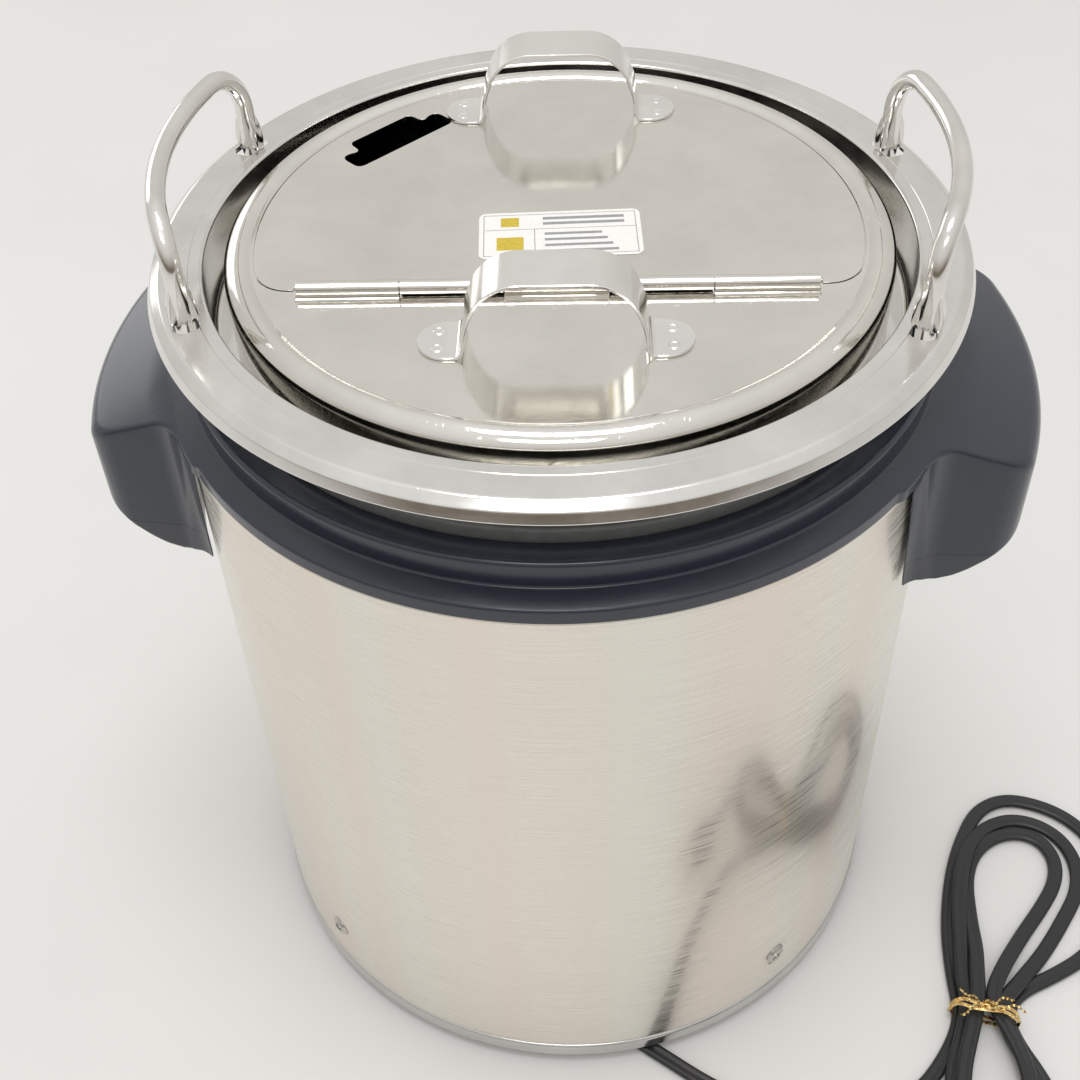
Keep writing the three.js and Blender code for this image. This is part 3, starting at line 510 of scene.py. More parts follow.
def jacket_finish():
    """Stainless sheet brushed round the body, with a few handling marks and painted reflections: warm and
    pale bands round the body in its colour.
    """
    color = (0.80, 0.765, 0.70)
    f = Finish("jacket_brushed", color, 0.2, 1.0, Anisotropic=0.6)
    fine = f.noise(f.round_the_body(5, 1300), 4, 3, 0.65)
    coarse = f.noise(f.round_the_body(3, 160), 3, 3, 0.6)
    clouds = f.spots(9, 4, 0.6)
    # Painted reflection: warm and pale bands that change round the body, not with height, stand in for the
    # room mirrored in the steel.
    reflection_bands = f.noise(f.round_the_body(1, 0.02), 22, 2, 0.4)
    painted_reflection = f.mix(f.span(reflection_bands, 0, 1, 0.42, 0.58), (0.84, 0.755, 0.685), (0.81, 0.80, 0.73))
    f.color(f.mix(f.span(fine, 0, 0.6, 0.35, 0.7), painted_reflection, [c * 0.93 for c in color]))
    f.rough(f.math("ADD", f.span(clouds, 0.05, 0.10, 0.3, 0.7), f.span(fine, 0, 0.36, 0.40, 0.54)))
    f.bump(fine, 0.0015)
    f.bump(coarse, 0.002)
    f.bump(clouds, 0.25)
    return f.material


SCUFF_COLOR = (0.16, 0.17, 0.19)


def plastic_finish(name, color, rough):
    """Moulded satin plastic with a fine grain, faint streaks and pale scuffs."""
    f = Finish(name, color, rough, 0.0, IOR=1.6)
    spread = f.spots(18, 5, 0.6)
    scuff = f.noise(f.scaled(1, 6, 2, 20), 120, 4, 0.6)
    pale = f.span(scuff, 0, 0.6, 0.7, 0.86)
    base = f.mix(f.span(spread, 0, 1, 0.35, 0.7), *tones(color, 0.88, 1.12))
    f.color(f.mix(pale, base, SCUFF_COLOR))
    worn = f.math("MULTIPLY", pale, 0.15)
    f.rough(f.math("ADD", f.span(spread, rough * 0.85, rough * 1.15, 0.3, 0.7), worn))
    f.bump(f.spots(1500, 2), 0.02)
    f.bump(f.spots(60, 3), 0.03)
    return f.material


def plain_finish(name, color, rough, metal=0.0, scale=300, relief=0.02, vary=0.12):
    f = Finish(name, color, rough, metal)
    spread = f.spots(scale, 4, 0.6)
    f.shade(spread, 0.3, 0.7, *tones(color, 1 - vary, 1 + vary))
    f.rough(f.span(spread, rough * 0.85, min(1, rough * 1.15), 0.3, 0.7))
    f.bump(spread, relief)
    return f.material


def foil_finish():
    f = Finish("gold_foil", (0.83, 0.56, 0.16), 0.25, 1.0)
    crinkle_and_glints = f.spots(700, 3, 0.6)
    # Painted glints and shade: the colour goes from dark brown in the crinkles' hollows to pale gold on
    # their crests, with the same noise as the bump.
    f.shade(crinkle_and_glints, 0.35, 0.65, (0.62, 0.34, 0.08), (0.98, 0.80, 0.40))
    f.rough(f.span(crinkle_and_glints, 0.15, 0.4, 0.3, 0.7))
    f.bump(crinkle_and_glints, 0.35)
    return f.material


def label_finish():
    """Plain white film; the bars and blocks on it are separate pieces."""
    f = Finish("label_film", (0.9, 0.89, 0.86), 0.35)
    fibre = f.spots(900, 3)
    f.shade(fibre, 0.3, 0.7, (0.86, 0.85, 0.82), (0.93, 0.92, 0.90))
    f.rough(f.span(fibre, 0.28, 0.42, 0.3, 0.7))
    f.bump(fibre, 0.01)
    return f.material


FINISHES = {
    "pot": turned_finish("pot_steel", (0.82, 0.81, 0.785), 0.13),
    "lid": sheet_finish("lid_steel", (0.82, 0.80, 0.755), 0.05),
    "handle": turned_finish("handle_steel", (0.84, 0.82, 0.79), 0.13, 0.1),
    "strap": sheet_finish("strap_steel", (0.90, 0.885, 0.86), 0.12, 0.15, 0.3),
    "jacket": jacket_finish(),
    "base": turned_finish("base_steel", (0.62, 0.615, 0.60), 0.18),
    "ring": plastic_finish("ring_plastic", (0.022, 0.028, 0.045), 0.19),
    "liner": plastic_finish("liner_plastic", (0.030, 0.035, 0.050), 0.26),
    "panel": plastic_finish("panel_plastic", (0.036, 0.040, 0.048), 0.4),
    "foil": foil_finish(),
    "label": label_finish(),
}
# Key: name, colour, roughness, metal, grain per metre, relief, variation.
PLAIN_FINISHES = {
    "sheet": ("sheet_steel", (0.58, 0.59, 0.60), 0.35, 1.0, 120, 0.01),
    "screw": ("screw_steel", (0.55, 0.54, 0.51), 0.16, 1.0, 500, 0.01),
    "silicone": ("grey_silicone", (0.17, 0.175, 0.18), 0.55, 0, 260, 0.02),
    "rubber": ("foot_rubber", (0.018, 0.018, 0.019), 0.75, 0, 700, 0.03),
    "mica": ("mica", (0.33, 0.25, 0.14), 0.5, 0, 180, 0.03, 0.25),
    "wool": ("glass_wool", (0.72, 0.68, 0.55), 0.95, 0, 420, 0.5, 0.15),
    "faceplate": ("faceplate_film", (0.50, 0.515, 0.53), 0.42, 0, 900, 0.006, 0.05),
    "display": ("display_window", (0.018, 0.026, 0.022), 0.08, 0, 40, 0.002),
    "button": ("button_caps", (0.62, 0.63, 0.64), 0.38, 0, 800, 0.01, 0.04),
    "board": ("green_laminate", (0.02, 0.13, 0.06), 0.4, 0, 350, 0.02, 0.3),
    "terminal": ("terminal_block", (0.62, 0.60, 0.53), 0.45, 0, 500, 0.01),
    "wire": ("sleeved_wires", (0.03, 0.03, 0.032), 0.5, 0, 500, 0.03),
    "cord": ("cord_pvc", (0.020, 0.020, 0.022), 0.34, 0, 600, 0.03),
    "plug": ("plug_pvc", (0.028, 0.028, 0.029), 0.45, 0, 900, 0.02),
    "brass": ("plated_blades", (0.70, 0.62, 0.42), 0.25, 1.0, 400, 0.004),
    "print": ("grey_print", (0.33, 0.33, 0.34), 0.4, 0, 900, 0.004),
    "amber": ("amber_print", (0.62, 0.47, 0.04), 0.4, 0, 900, 0.004),
    "lamp": ("amber_lamp", (0.75, 0.28, 0.03), 0.25, 0, 500, 0.003),
}
FINISHES.update({key: plain_finish(*terms) for key, terms in PLAIN_FINISHES.items()})

# ---------------- camera

VIEW_TURN = 186.9
VIEW_ELEVATION = 44.577
VIEW_ROLL = -2.543
VIEW_POINT = (-11.34, 0.0, 183.33)
VIEW_DISTANCE = 633.16
STAND_LIFT = 4.5
LENS = 48.98


def camera():
    data = bpy.data.cameras.new("camera")
    data.lens = LENS
    data.sensor_width = 36
    data.clip_start = 0.02
    data.clip_end = 50
    obj = add("camera", data)
    obj.matrix_world = (shift(z=STAND_LIFT) @ spin(VIEW_TURN) @ shift(*VIEW_POINT)
                        @ spin(90 - VIEW_ELEVATION, "X") @ spin(VIEW_ROLL) @ shift(z=VIEW_DISTANCE))
    bpy.context.scene.camera = obj


camera()

# ---------------- mains cord

CORD_EXIT = (-19.3, 121.8, 5.2)
CORD_HEADING = (-0.867, 0.498)
BUSHING_BACK = -18
BLADE_Y = 6.35


def along_cord(distance, z=0):
    return (CORD_EXIT[0] + CORD_HEADING[0] * distance, CORD_EXIT[1] + CORD_HEADING[1] * distance, z)


def at(z, *spots):
    """Points in X and Y, all at one height."""
    return [(x, y, z) for x, y in spots]


def cord_points():
    """The flex from the bushing to the hank, its turns in the hank, and the tail to the plug."""
    lead = [along_cord(0, CORD_EXIT[2]), along_cord(5, 4.9), along_cord(11, 3.1), along_cord(17, LIE),
            along_cord(26, LIE)]
    lead += at(LIE, (-57, 143.5), (-68.2, 149.9), (-88, 159), (-108, 164), (-130, 164.5), (-150, 157.5),
               (-165, 146), (-175, 133), (-182, 120))
    tail = [(-205, 121, 8.8), (-209, 134, 8.6), (-210, 148, 8.6), (-206, 161, 8.4), (-198, 172, 7),
            (-187, 180, 4.8), (-176, 185.5, 4.2), (-163, 188, 4.2)]
    return lead + hank_turns() + tail


def hank_turns():
    """Three turns: each goes up the left side, round the far end and back, then round the near end."""
    low, middle, high = LIE, LIE + 3.5, LIE + 7.0
    first = at(low, (-185, 108), (-184, 92), (-184, 70), (-186.5, 50), (-190.5, 32), (-197, 14), (-206, -2),
               (-219, -10), (-234, -9), (-249, -2), (-260, 11), (-265, 28), (-264, 46), (-257, 63),
               (-245, 77), (-229, 88), (-214, 97), (-206, 108))
    second = at(middle, (-188, 107), (-187.5, 92), (-188.5, 76), (-189.5, 58), (-192.5, 39))
    second += at(4.2, (-198, 22))
    second += at(low, (-207, 9), (-220, 2), (-234, 3.5), (-245, 12), (-250, 26), (-248, 41), (-240, 56),
                 (-227, 76))
    second += at(middle, (-212, 95), (-203, 107))
    third = at(high, (-192, 107), (-193.5, 92)) + at(6.5, (-195, 78)) + at(3.4, (-195, 60))
    third += at(low, (-196, 39), (-201, 24), (-210.5, 14), (-223, 9.5), (-234.5, 13), (-240, 24),
                (-238, 37), (-230, 51))
    third += at(3.6, (-217, 70)) + at(high, (-205, 90), (-199, 105))
    return first + near_end(0, low, middle) + second + near_end(6, middle, high) + third


def near_end(inset, z0, z1):
    """The bend of the hank nearest the kettle, drawn in by inset and climbing from z0 to z1."""
    ring = [(-209, 122), (-216, 136), (-221, 151), (-218, 166), (-207, 175), (-193, 175), (-182, 166),
            (-177, 152), (-179, 137), (-184, 122)]
    middle_x, middle_y = -198.0, 148.0
    steps = len(ring) - 1
    return [(middle_x + (x - middle_x) * (1 - inset / 30), middle_y + (y - middle_y) * (1 - inset / 60),
             z0 + (z1 - z0) * i / steps) for i, (x, y) in enumerate(ring)]


def flex_section():
    """A flat twin flex: two round cores side by side with a shallow valley between them."""
    core, pitch, valley = CORD_THICKNESS / 2, CORD_WIDTH / 2 - CORD_THICKNESS / 2, 1.3
    section = []
    for i in range(20):
        angle = TAU * (i + 0.5) / 20
        x = CORD_WIDTH / 2 * cos(angle)
        bulge = max(core ** 2 - (abs(x) - pitch) ** 2, 0) ** 0.5
        height = max(bulge, valley if abs(x) < pitch else 0.35)
        section.append((x, copysign(height, sin(angle))))
    return section


def swept(name, line, section, up=(0.0, 0.0, 1.0), twist=0.0):
    """A tube of one section along a line, kept level with up or given some turns of twist."""
    rings = []
    for i, (here, forward) in enumerate(zip(line, directions(line))):
        side = np.cross(up, forward)
        if np.linalg.norm(side) < 0.2:
            side = np.cross((1, 0, 0), forward)
        side /= np.linalg.norm(side)
        above = np.cross(forward, side)
        a = twist * TAU * i / len(line)
        across, over = side * cos(a) + above * sin(a), above * cos(a) - side * sin(a)
        rings.append([tuple(here + across * x + over * y) for x, y in section])
    return skin(name, rings, 50)


def softened(line, rounds):
    line = line.copy()
    for _ in range(rounds):
        line[1:-1] = (line[:-2] + 2 * line[1:-1] + line[2:]) / 4
    return line


def cord():
    line = evenly(softened(smooth_line(cord_points(), 2.0), 6), 2.0)
    flex = swept("flat_flex", line, flex_section())
    settle(flex, "root", "cord_pvc", "cord", "power_cord", "cord_hank")
    length = float(np.linalg.norm(np.diff(line, axis=0), axis=1).sum()) * MM
    plug, blades = plug_pieces(line)
    tie = twist_tie()
    return length


def plug_pieces(line):
    """A flat two-pin plug on the end of the flex, lying on the table."""
    end = line[-1]
    ahead = directions(line)[-1]
    turn = atan2(ahead[1], ahead[0])

    def place(obj):
        return placed(obj, shift(end[0], end[1]) @ Matrix.Rotation(turn, 4, "Z"))

    stations = [(-3, 3.4, 1.9), (0, 3.9, 2.6), (7, 4.6, 3.2), (9, 7.4, 4.6), (12, 8.6, 5.3), (19, 8.8, 5.4),
                (23, 8.3, 5.2), (27, 8.9, 5.4), (30.6, 9.0, 5.4), (31.6, 8.4, 4.9), (31.8, 6, 3)]
    middle = 5.5
    rings = []
    for x, wide, tall in stations:
        z = middle if x > 8 else max(4.2, tall + 0.1)
        rings.append([(x, wide * squarish(cos(a), 0.55), z + tall * squarish(sin(a), 0.55))
                      for a in circle(32)])
    body = place(skin("plug_moulding", rings, 35))
    settle(body, "root", "plug_pvc", "plug", "plug_body")
    blades = []
    for i, y in enumerate((-BLADE_Y, BLADE_Y)):
        rings = [[(x, y + dy, middle + dz) for dy, dz in
                  ((-0.75, -half), (0.75, -half), (0.75, half), (-0.75, half))]
                 for x, half in ((31.4, 3.1), (48, 3.1), (49.2, 2.6), (49.6, 1.8))]
        blade = place(skin(f"plug_pin_{i + 1}", rings, 30))
        settle(blade, "root", "blade_brass", "brass", f"plug_blade_{i + 1}")
        blades.append(blade)
    return body, blades


def twist_tie():
    """A gold foil tie wound round the waist of the hank, with its ends twisted together."""
    parts = []
    centre = np.array([-195.0, 110.0])
    along = np.array([0.985, -0.17])
    for k, lift in enumerate((0.0, 2.6)):
        loop = []
        for i in range(49):
            a = TAU * i / 48
            half, tall = 15.2 + 0.4 * k, 6.4 + 0.3 * k
            across = half * squarish(cos(a), 0.8)
            up = 6.9 + tall * squarish(sin(a), 0.8)
            side = lift + 0.7 * sin(5 * a + k)
            spot = centre + along * across + np.array([0.17, 0.985]) * side
            loop.append((spot[0], spot[1], max(0.5, up)))
        parts.append(foil_strip(f"tie_loop_{k}", loop, 1.5))
    for k, (dx, dy, dz) in enumerate(((-13, 3, 3), (-11, -4, 1.5), (12, 6, 2.5), (9, -5, 4))):
        start = centre + np.array([2.0 * k - 3, 1.0])
        tail = [(start[0] + dx * t, start[1] + dy * t + 1.2 * sin(7 * t + k),
                 13.6 + dz * sin(2.2 * t)) for t in np.linspace(0, 1, 15)]
        parts.append(foil_strip(f"tie_end_{k}", tail, 1.2, twist=3.5))
    for k in range(5):
        a0 = k * 1.3
        knot = [(centre[0] - 1 + 2.4 * cos(a0 + 5 * t), centre[1] + 1 + 2.2 * sin(a0 + 4 * t),
                 14.2 + 1.2 * sin(3 * t + k)) for t in np.linspace(0, 1, 13)]
        parts.append(foil_strip(f"tie_knot_{k}", knot, 1.1, twist=2))
    tie = merged("twist_tie", parts, 50)
    return settle(tie, "root", "tie_foil", "foil", "cord_tie")


def foil_strip(name, points, wide, twist=0.0):
    section = [(-0.5 * wide, -0.1), (0.5 * wide, -0.1), (0.56 * wide, 0), (0.5 * wide, 0.1),
               (-0.5 * wide, 0.1), (-0.56 * wide, 0)]
    return swept(name, smooth_line(points, 0.6), section, (0.05, 0.1, 1.0), twist)


CORD_LENGTH = cord()

# ---------------- jacket and base


def jacket():
    """The round steel jacket, dimpled in where its four screws hold it."""
    wall = 0.8
    inner = JACKET_R - wall
    angles = set(np.round(np.arange(0, 360, 1.5), 3))
    for a in SCREW_ANGLES:
        angles |= set(np.round(np.arange(a - 3.6, a + 3.61, 0.24), 3))
    angles = sorted(angles)
    heights = sorted({14.3, 16, 20, 45, 60, *np.arange(26, 43.1, 0.6), *range(80, 290, 30)})
    outer = [(JACKET_R - 0.35, JACKET_BOTTOM), (JACKET_R - 0.05, JACKET_BOTTOM + 0.15)]
    outer += [(JACKET_R, z) for z in heights]
    bead = rounded([[JACKET_R, 286, 0], [JACKET_R, 290.6, 1.4], [JACKET_BEAD_R, 291.9, 0.9],
                    [JACKET_BEAD_R, JACKET_TOP, 0.7], [inner, JACKET_TOP, 0.2], [inner, 280, 0]],
                   closed=False, step=18)
    profile = outer + [tuple(p) for p in bead] + [(inner, 150), (inner, 50), (inner, JACKET_BOTTOM)]
    points = [dimpled(r, z, a) for r, z in profile for a in angles]
    return piece("jacket_shell", points, grid_faces(len(profile), len(angles), wrap_rows=True))


def dimpled(r, z, angle):
    """A pressed dish round each screw: flat in the middle, with a soft rim."""
    depth, flat, rim = 1.5, 5.0, 7.8
    for a in SCREW_ANGLES:
        gap = (angle - a + 180) % 360 - 180
        away = hypot(radians(gap) * JACKET_R, z - SCREW_Z)
        if away < rim and r > JACKET_R - 0.4:
            t = max(0.0, (away - flat) / (rim - flat))
            r -= depth * (1 - t * t * (3 - 2 * t))
    a = radians(angle)
    return [r * cos(a), r * sin(a), z]


def jacket_screw(index, degrees):
    """A pan-head screw with a cross recess, lying in its dish."""
    head = spindle(f"screw_head_{index}", [
        [0, 0, 0], [1.8, 0, 0], [1.8, 5.5, 0], [4.9, 5.5, 0.2], [4.9, 6.3, 0.5], [3.9, 7.4, 1.2],
        [0, 7.9, 0],
    ], 48)
    for turn in (20, 110):
        slot = plate(f"slot_{index}_{turn}", [box_outline(-2.9, -0.5, 2.9, 0.5)], 6.6, 9, 0.01)
        head = cut(head, turned(slot, turn))
    head.name = f"panhead_screw_{index}"
    placed(head, shift(JACKET_R - 6.6, 0, SCREW_Z) @ spin(90, "Y"))
    turned(head, degrees)
    settle(head, "root", "screw_steel", "screw", f"jacket_screw_{index}")


def base_ring():
    inner = 139.2
    profile = rounded([
        [inner, BASE_LIFT, 0.4], [BASE_RING_R, BASE_LIFT, 1.4], [BASE_RING_R, BASE_RING_TOP, 1.8],
        [inner, BASE_RING_TOP, 0.4],
    ])
    return lathe("base_rim", profile, 240)


def base_pan():
    """The steel pan under the kettle, with a stiffening bead, three vents and a turned-up wall."""
    wall = 142.4
    pan = spindle("pan", [
        [0, 10, 0], [60, 10, 2], [64, 11.6, 2], [84, 11.6, 2], [88, 10, 2], [138.6, 10, 1.6],
        [138.6, 14, 0.8], [wall, 14, 0.8], [wall, 45, 0.3], [wall - 1.2, 45, 0.3], [wall - 1.2, 15.2, 0.5],
        [137.4, 15.2, 0.5], [137.4, 11.2, 0.8], [89, 11.2, 2], [84, 12.8, 2], [64, 12.8, 2], [60, 11.2, 2],
        [0, 11.2, 0],
    ], 160)
    slots = []
    for i in (-1, 0, 1):
        slots.append(moved(plate(f"vent_{i}", [round_box(22, 3, 2.9)], 5, 20, 0.01), y=-30 + 12 * i))
    pan = cut(pan, merged("vents", slots))
    hole = lathe("cord_hole", [[0, 0], [6.5, 0], [6.5, 20], [0, 20]], 32)
    pan = cut(pan, moved(hole, *along_cord(BUSHING_BACK)))
    pan.name = "bottom_pan"
    return pan


def foot(index):
    corners = [[0, 0, 0], [8.4, 0, 1.2], [9, 5, 1], [8.2, 9.7, 0.4], [0, 9.7, 0]]
    a = radians(45 + 90 * index)
    obj = moved(spindle(f"rubber_foot_{index + 1}", corners, 48), FOOT_CIRCLE * cos(a), FOOT_CIRCLE * sin(a))
    settle(obj, "root", "foot_rubber", "rubber", f"foot_{index + 1}")


def cord_bushing():
    """A ribbed strain relief under the pan, with its post up through the pan."""
    heading = atan2(CORD_HEADING[1], CORD_HEADING[0])
    rings = []
    for i in range(50):
        t = i / 49
        x = -24 + 23.7 * t
        rib = 0.5 if (x > -17 and int((x + 17) / 1.6) % 2) else 0
        wide, tall = 6.2 - 1.6 * t - rib, 4.1 - 1.5 * t - rib
        rings.append([(x, wide * cos(a), CORD_EXIT[2] + tall * sin(a))
                      for a in circle(28)])
    sleeve = skin("sleeve", rings, 30)
    placed(sleeve, shift(CORD_EXIT[0], CORD_EXIT[1]) @ Matrix.Rotation(heading, 4, "Z"))
    post = spindle("post", [[0, 4, 0], [6, 4, 0.5], [6, 8, 0.3], [9, 8, 0.5], [9, 9.7, 0.4], [6, 9.7, 0],
                            [6, 18, 0.6], [0, 18, 0]], 40)
    obj = merged("cord_relief", [sleeve, moved(post, *along_cord(BUSHING_BACK))])
    settle(obj, "root", "cord_pvc", "cord", "cord_bushing")


def base_and_jacket():
    settle(jacket(), "root", "jacket_steel", "jacket", "jacket")
    settle(base_ring(), "root", "base_steel", "base", "base_ring")
    settle(base_pan(), "root", "sheet_steel", "sheet", "base_pan")
    for i, degrees in enumerate(SCREW_ANGLES):
        jacket_screw(i + 1, degrees)
    for i in range(4):
        foot(i)
    cord_bushing()


base_and_jacket()

# ---------------- top ring and carrying handles

HANDLE_CORNER = (170.54, 51.0)
HANDLE_ROOT = 29.9
FIN_R = 145.9
RING_BOTTOM_Z = 294.3
RING_EDGE = 1.5
RING_TOP_Z = [302.9, 300.0, 299.5, 299.0, 289.2]
RING_BORE_R = 145.2
# The handle's end wall meets the jacket along a slanting root, from low down to the ring.
ROOT_Z = (235.0, 294.0)
ROOT_ANGLES = (26.6, 30.2)


def handle_plan():
    """Half of the +X handle's outline from its tip to its root, as angles (degrees) and radii."""
    tip = math.degrees(atan2(HANDLE_CORNER[1], HANDLE_CORNER[0]))
    line = [(HANDLE_R * cos(radians(a)), HANDLE_R * sin(radians(a)))
            for a in np.linspace(0, tip, 30)]
    line += quadratic(HANDLE_CORNER, (168.2, 58.6), (160, 60.2))[1:]
    line += [(152.5, 60.9)] + quadratic((142, 61.4), (135.5, 61.8), (129.2, 71.2))
    line += [(121.4, 83.4), (118.4, 85.4)]
    return [math.degrees(atan2(y, x)) for x, y in line], [hypot(x, y) for x, y in line]


def quadratic(a, b, c, steps=16):
    a, b, c = (np.array(p, float) for p in (a, b, c))
    return [tuple(a * (1 - t) ** 2 + b * 2 * t * (1 - t) + c * t * t) for t in np.linspace(0, 1, steps + 1)]


PLAN_ANGLES, PLAN_RADII = handle_plan()


def off_axis(degrees):
    """The angle between a direction and the nearer handle's middle."""
    return abs((degrees + 90) % 180 - 90)


def reach(degrees):
    """How far out the ring and its handles go in one direction."""
    return max(RING_R, float(np.interp(off_axis(degrees), PLAN_ANGLES, PLAN_RADII, right=0)))


def top_height(r):
    """The ring's top sloping gently out from the collar, then the slope of the handles."""
    return float(np.interp(r, [COLLAR_R, RING_R, 150, 151.5, HANDLE_R], RING_TOP_Z))


def under_height(x):
    """The underside of a handle, curling up from the jacket to the outer wall."""
    return float(np.interp(x, [142, 148, 153, 161, 166, 169, 171.5, 173, 175, 178],
                           [235.0, 237.0, 240, 246.3, 250.5, 254, 258.5, 262.5, 266, 268]))


def root_height(off):
    """How low the end wall still reaches in the directions of its slanting root."""
    return float(np.interp(off, ROOT_ANGLES, ROOT_Z))


def wall_reach(off, out, z):
    """The end wall's radius, drawing in to the jacket towards its root."""
    root = float(np.interp(z, ROOT_Z, ROOT_ANGLES))
    return FIN_R + max(0.0, out - FIN_R) * min(1.0, max(0.0, (root - off) / 2.4))


def quarter_turn(radius, level, wide, tall):
    """A rounded edge from a wall down and inwards to an underside, without its first point."""
    return [(radius - wide * (1 - cos(a)), level - tall * sin(a))
            for a in np.linspace(0, pi / 2, 5)[1:]]


def ring_column(degrees, with_handle):
    """The outer part of the ring's section in one direction, from the flat round to the underside."""
    out, off = reach(degrees), off_axis(degrees)
    lean = min(1.0, (out - RING_R) / 12)
    outside = 16.5 / max(off, 16.5)
    edge = RING_EDGE + lean * (1.2 + 4.5 * outside ** 3)
    top = top_height(out)
    arc = fillet((out - 1, top_height(out - 1)), (out, top), (out, top - 1), edge, steps=6)
    line = [(r, top_height(r)) for r in np.linspace(RING_R - RING_EDGE, arc[0][0], 9)[:-1]]
    line += [tuple(p) for p in arc]
    start = arc[-1][1]
    if not with_handle:
        line += [(out, z) for z in np.linspace(start, RING_BOTTOM_Z + 0.5, 5)[1:]]
        return line + quarter_turn(out, RING_BOTTOM_Z + 0.5, 0.5, 0.5) + [(145.45, RING_BOTTOM_Z)] * 24
    cosine = abs(cos(radians(degrees)))

    def under(r, drop=0.2):
        return max(under_height(r * cosine), root_height(off) - drop)

    low = under(out, 0.0)
    foot_r = wall_reach(off, out, low)
    foot = min(1.6, 0.4 * (foot_r - 145.4))
    level = low + foot
    line += [(wall_reach(off, out, z), z) for z in np.linspace(start, level, 13)[1:]]
    line += quarter_turn(foot_r, level, foot, level - under(foot_r - foot))
    line += [(r, under(r)) for r in np.linspace(foot_r - foot, 145.6, 12)[1:]]
    bore = under(RING_BORE_R, 0.0) + 1.2
    roof = max(290.5, bore + 0.2)
    return line + [(145.3, bore), (RING_BORE_R, max(270, bore + 0.1)), (RING_BORE_R, roof), (FIN_R, roof),
                   (FIN_R, RING_BOTTOM_Z)]


def ring_and_handles():
    """The whole moulding as one closed grid round the axis, with a step where each handle starts."""
    fixed = rounded([
        [142.0, RING_BOTTOM_Z, 0], [142.0, 282, 0.3], [140.0, 282, 0.3], [140.0, 298, 0], [135.5, 298, 0],
        [135.5, 310.4, 0.5], [130.7, 310.4, 0.5], [130.7, 304, 0], [SHELF_R, 304, 0.5],
        [SHELF_R, SHELF_Z, 0.6], [COLLAR_BORE_R, SHELF_Z, 0.6], [COLLAR_BORE_R, COLLAR_TOP, 1.0],
        [COLLAR_R, COLLAR_TOP, 1.9], [COLLAR_R, RING_TOP_Z[0], 1.0],
        [RING_R - RING_EDGE, top_height(RING_R - RING_EDGE), 0],
    ], closed=False, step=12)[:-1]
    root = HANDLE_ROOT
    half = sorted(set(np.round(np.concatenate([
        np.arange(0, 14, 1.0), np.arange(14, 20, 0.35), np.arange(20, 25, 0.15),
        np.arange(25, root - 0.1, 0.3), np.arange(root + 0.3, 37, 0.4), np.arange(37.5, 90.1, 1.5)]), 4)))
    quarter = [(a, a < root) for a in half if a < root] + [(root, True), (root, False)]
    quarter += [(a, False) for a in half if a > root]
    columns = quarter + [(180 - a, w) for a, w in reversed(quarter) if a < 90]
    columns += [(360 - a, w) for a, w in reversed(columns) if 0 < a < 180]
    sections = []
    for degrees, with_handle in columns:
        a = radians(degrees)
        section = [tuple(p) for p in fixed] + ring_column(degrees, with_handle)
        sections.append([(r * cos(a), r * sin(a), z) for r, z in section])
    rows = len(sections[0])
    points = [section[k] for k in range(rows) for section in sections]
    return piece("moulding", points, grid_faces(rows, len(sections), wrap_rows=True), 35)


def finger_pocket(side):
    """The hollow under one handle, with round corners at its roof."""
    inner, outer, half, top = 147.7, 174.5, 45.0, 283.0
    plan = []
    for radius, way in ((outer, 1), (inner, -1)):
        edge = asin(half / radius) * way
        plan += [(radius * cos(a), radius * sin(a)) for a in np.linspace(-edge, edge, 40)]
    middle = (inner + outer) / 2 - 6
    sections = []
    for inset, z in ((0, 225), (0, 262), (0, top - 4), (0.6, top - 2), (1.6, top - 0.7), (3.2, top)):
        sections.append([(middle + (x - middle) * (1 - inset / 12), y * (1 - inset / half), z)
                         for x, y in plan])
    return turned(skin(f"pocket_{side}", sections), 0 if side > 0 else 180)


def sliced(obj, z, above):
    """Keeps what is above or below a level, and closes the cut."""
    def change(shape):
        found = bmesh.ops.bisect_plane(
            shape, geom=shape.verts[:] + shape.edges[:] + shape.faces[:], dist=1e-7,
            plane_co=(0, 0, z * MM), plane_no=(0, 0, 1), clear_outer=not above, clear_inner=above)
        rim = [e for e in found["geom_cut"] if isinstance(e, bmesh.types.BMEdge)]
        bmesh.ops.triangle_fill(shape, edges=rim, use_beauty=True, use_dissolve=True)
        bmesh.ops.recalc_face_normals(shape, faces=shape.faces)

    return reshaped(obj, change)


def one_side(obj, side):
    def change(shape):
        bmesh.ops.delete(shape, geom=[v for v in shape.verts if v.co.x * side < 0])

    return reshaped(obj, change)


def top_ring():
    whole = ring_and_handles()
    for side in (1, -1):
        whole = cut(whole, finger_pocket(side))
    for side, word in ((1, "left"), (-1, "right")):
        lower = smooth(add(f"handle_under_{word}", whole.data.copy()))
        lower = one_side(sliced(lower, HANDLE_SPLIT_Z - PARTING, above=False), side)
        settle(lower, "root", "liner_plastic", "liner", f"handle_liner_{word}")
    sliced(whole, HANDLE_SPLIT_Z + PARTING, above=True)
    whole.name = "ring_moulding"
    settle(whole, "root", "ring_plastic", "ring", "top_ring")
    seal = lathe("pot_seal", rounded([
        [118.6, SHELF_Z + 0.1, 0.8], [127.9, SHELF_Z + 0.1, 0.8], [127.9, POT_STEP_Z - 0.1, 1.2],
        [125.4, POT_STEP_Z - 0.1, 0.6], [124.6, POT_STEP_Z - 1.2, 0.6], [121.8, POT_STEP_Z - 1.2, 0.6],
        [121, POT_STEP_Z - 0.1, 0.6], [118.6, POT_STEP_Z - 0.1, 1.2],
    ]))
    settle(seal, "root", "silicone", "silicone", "pot_support_ring")


top_ring()

# ---------------- heated well


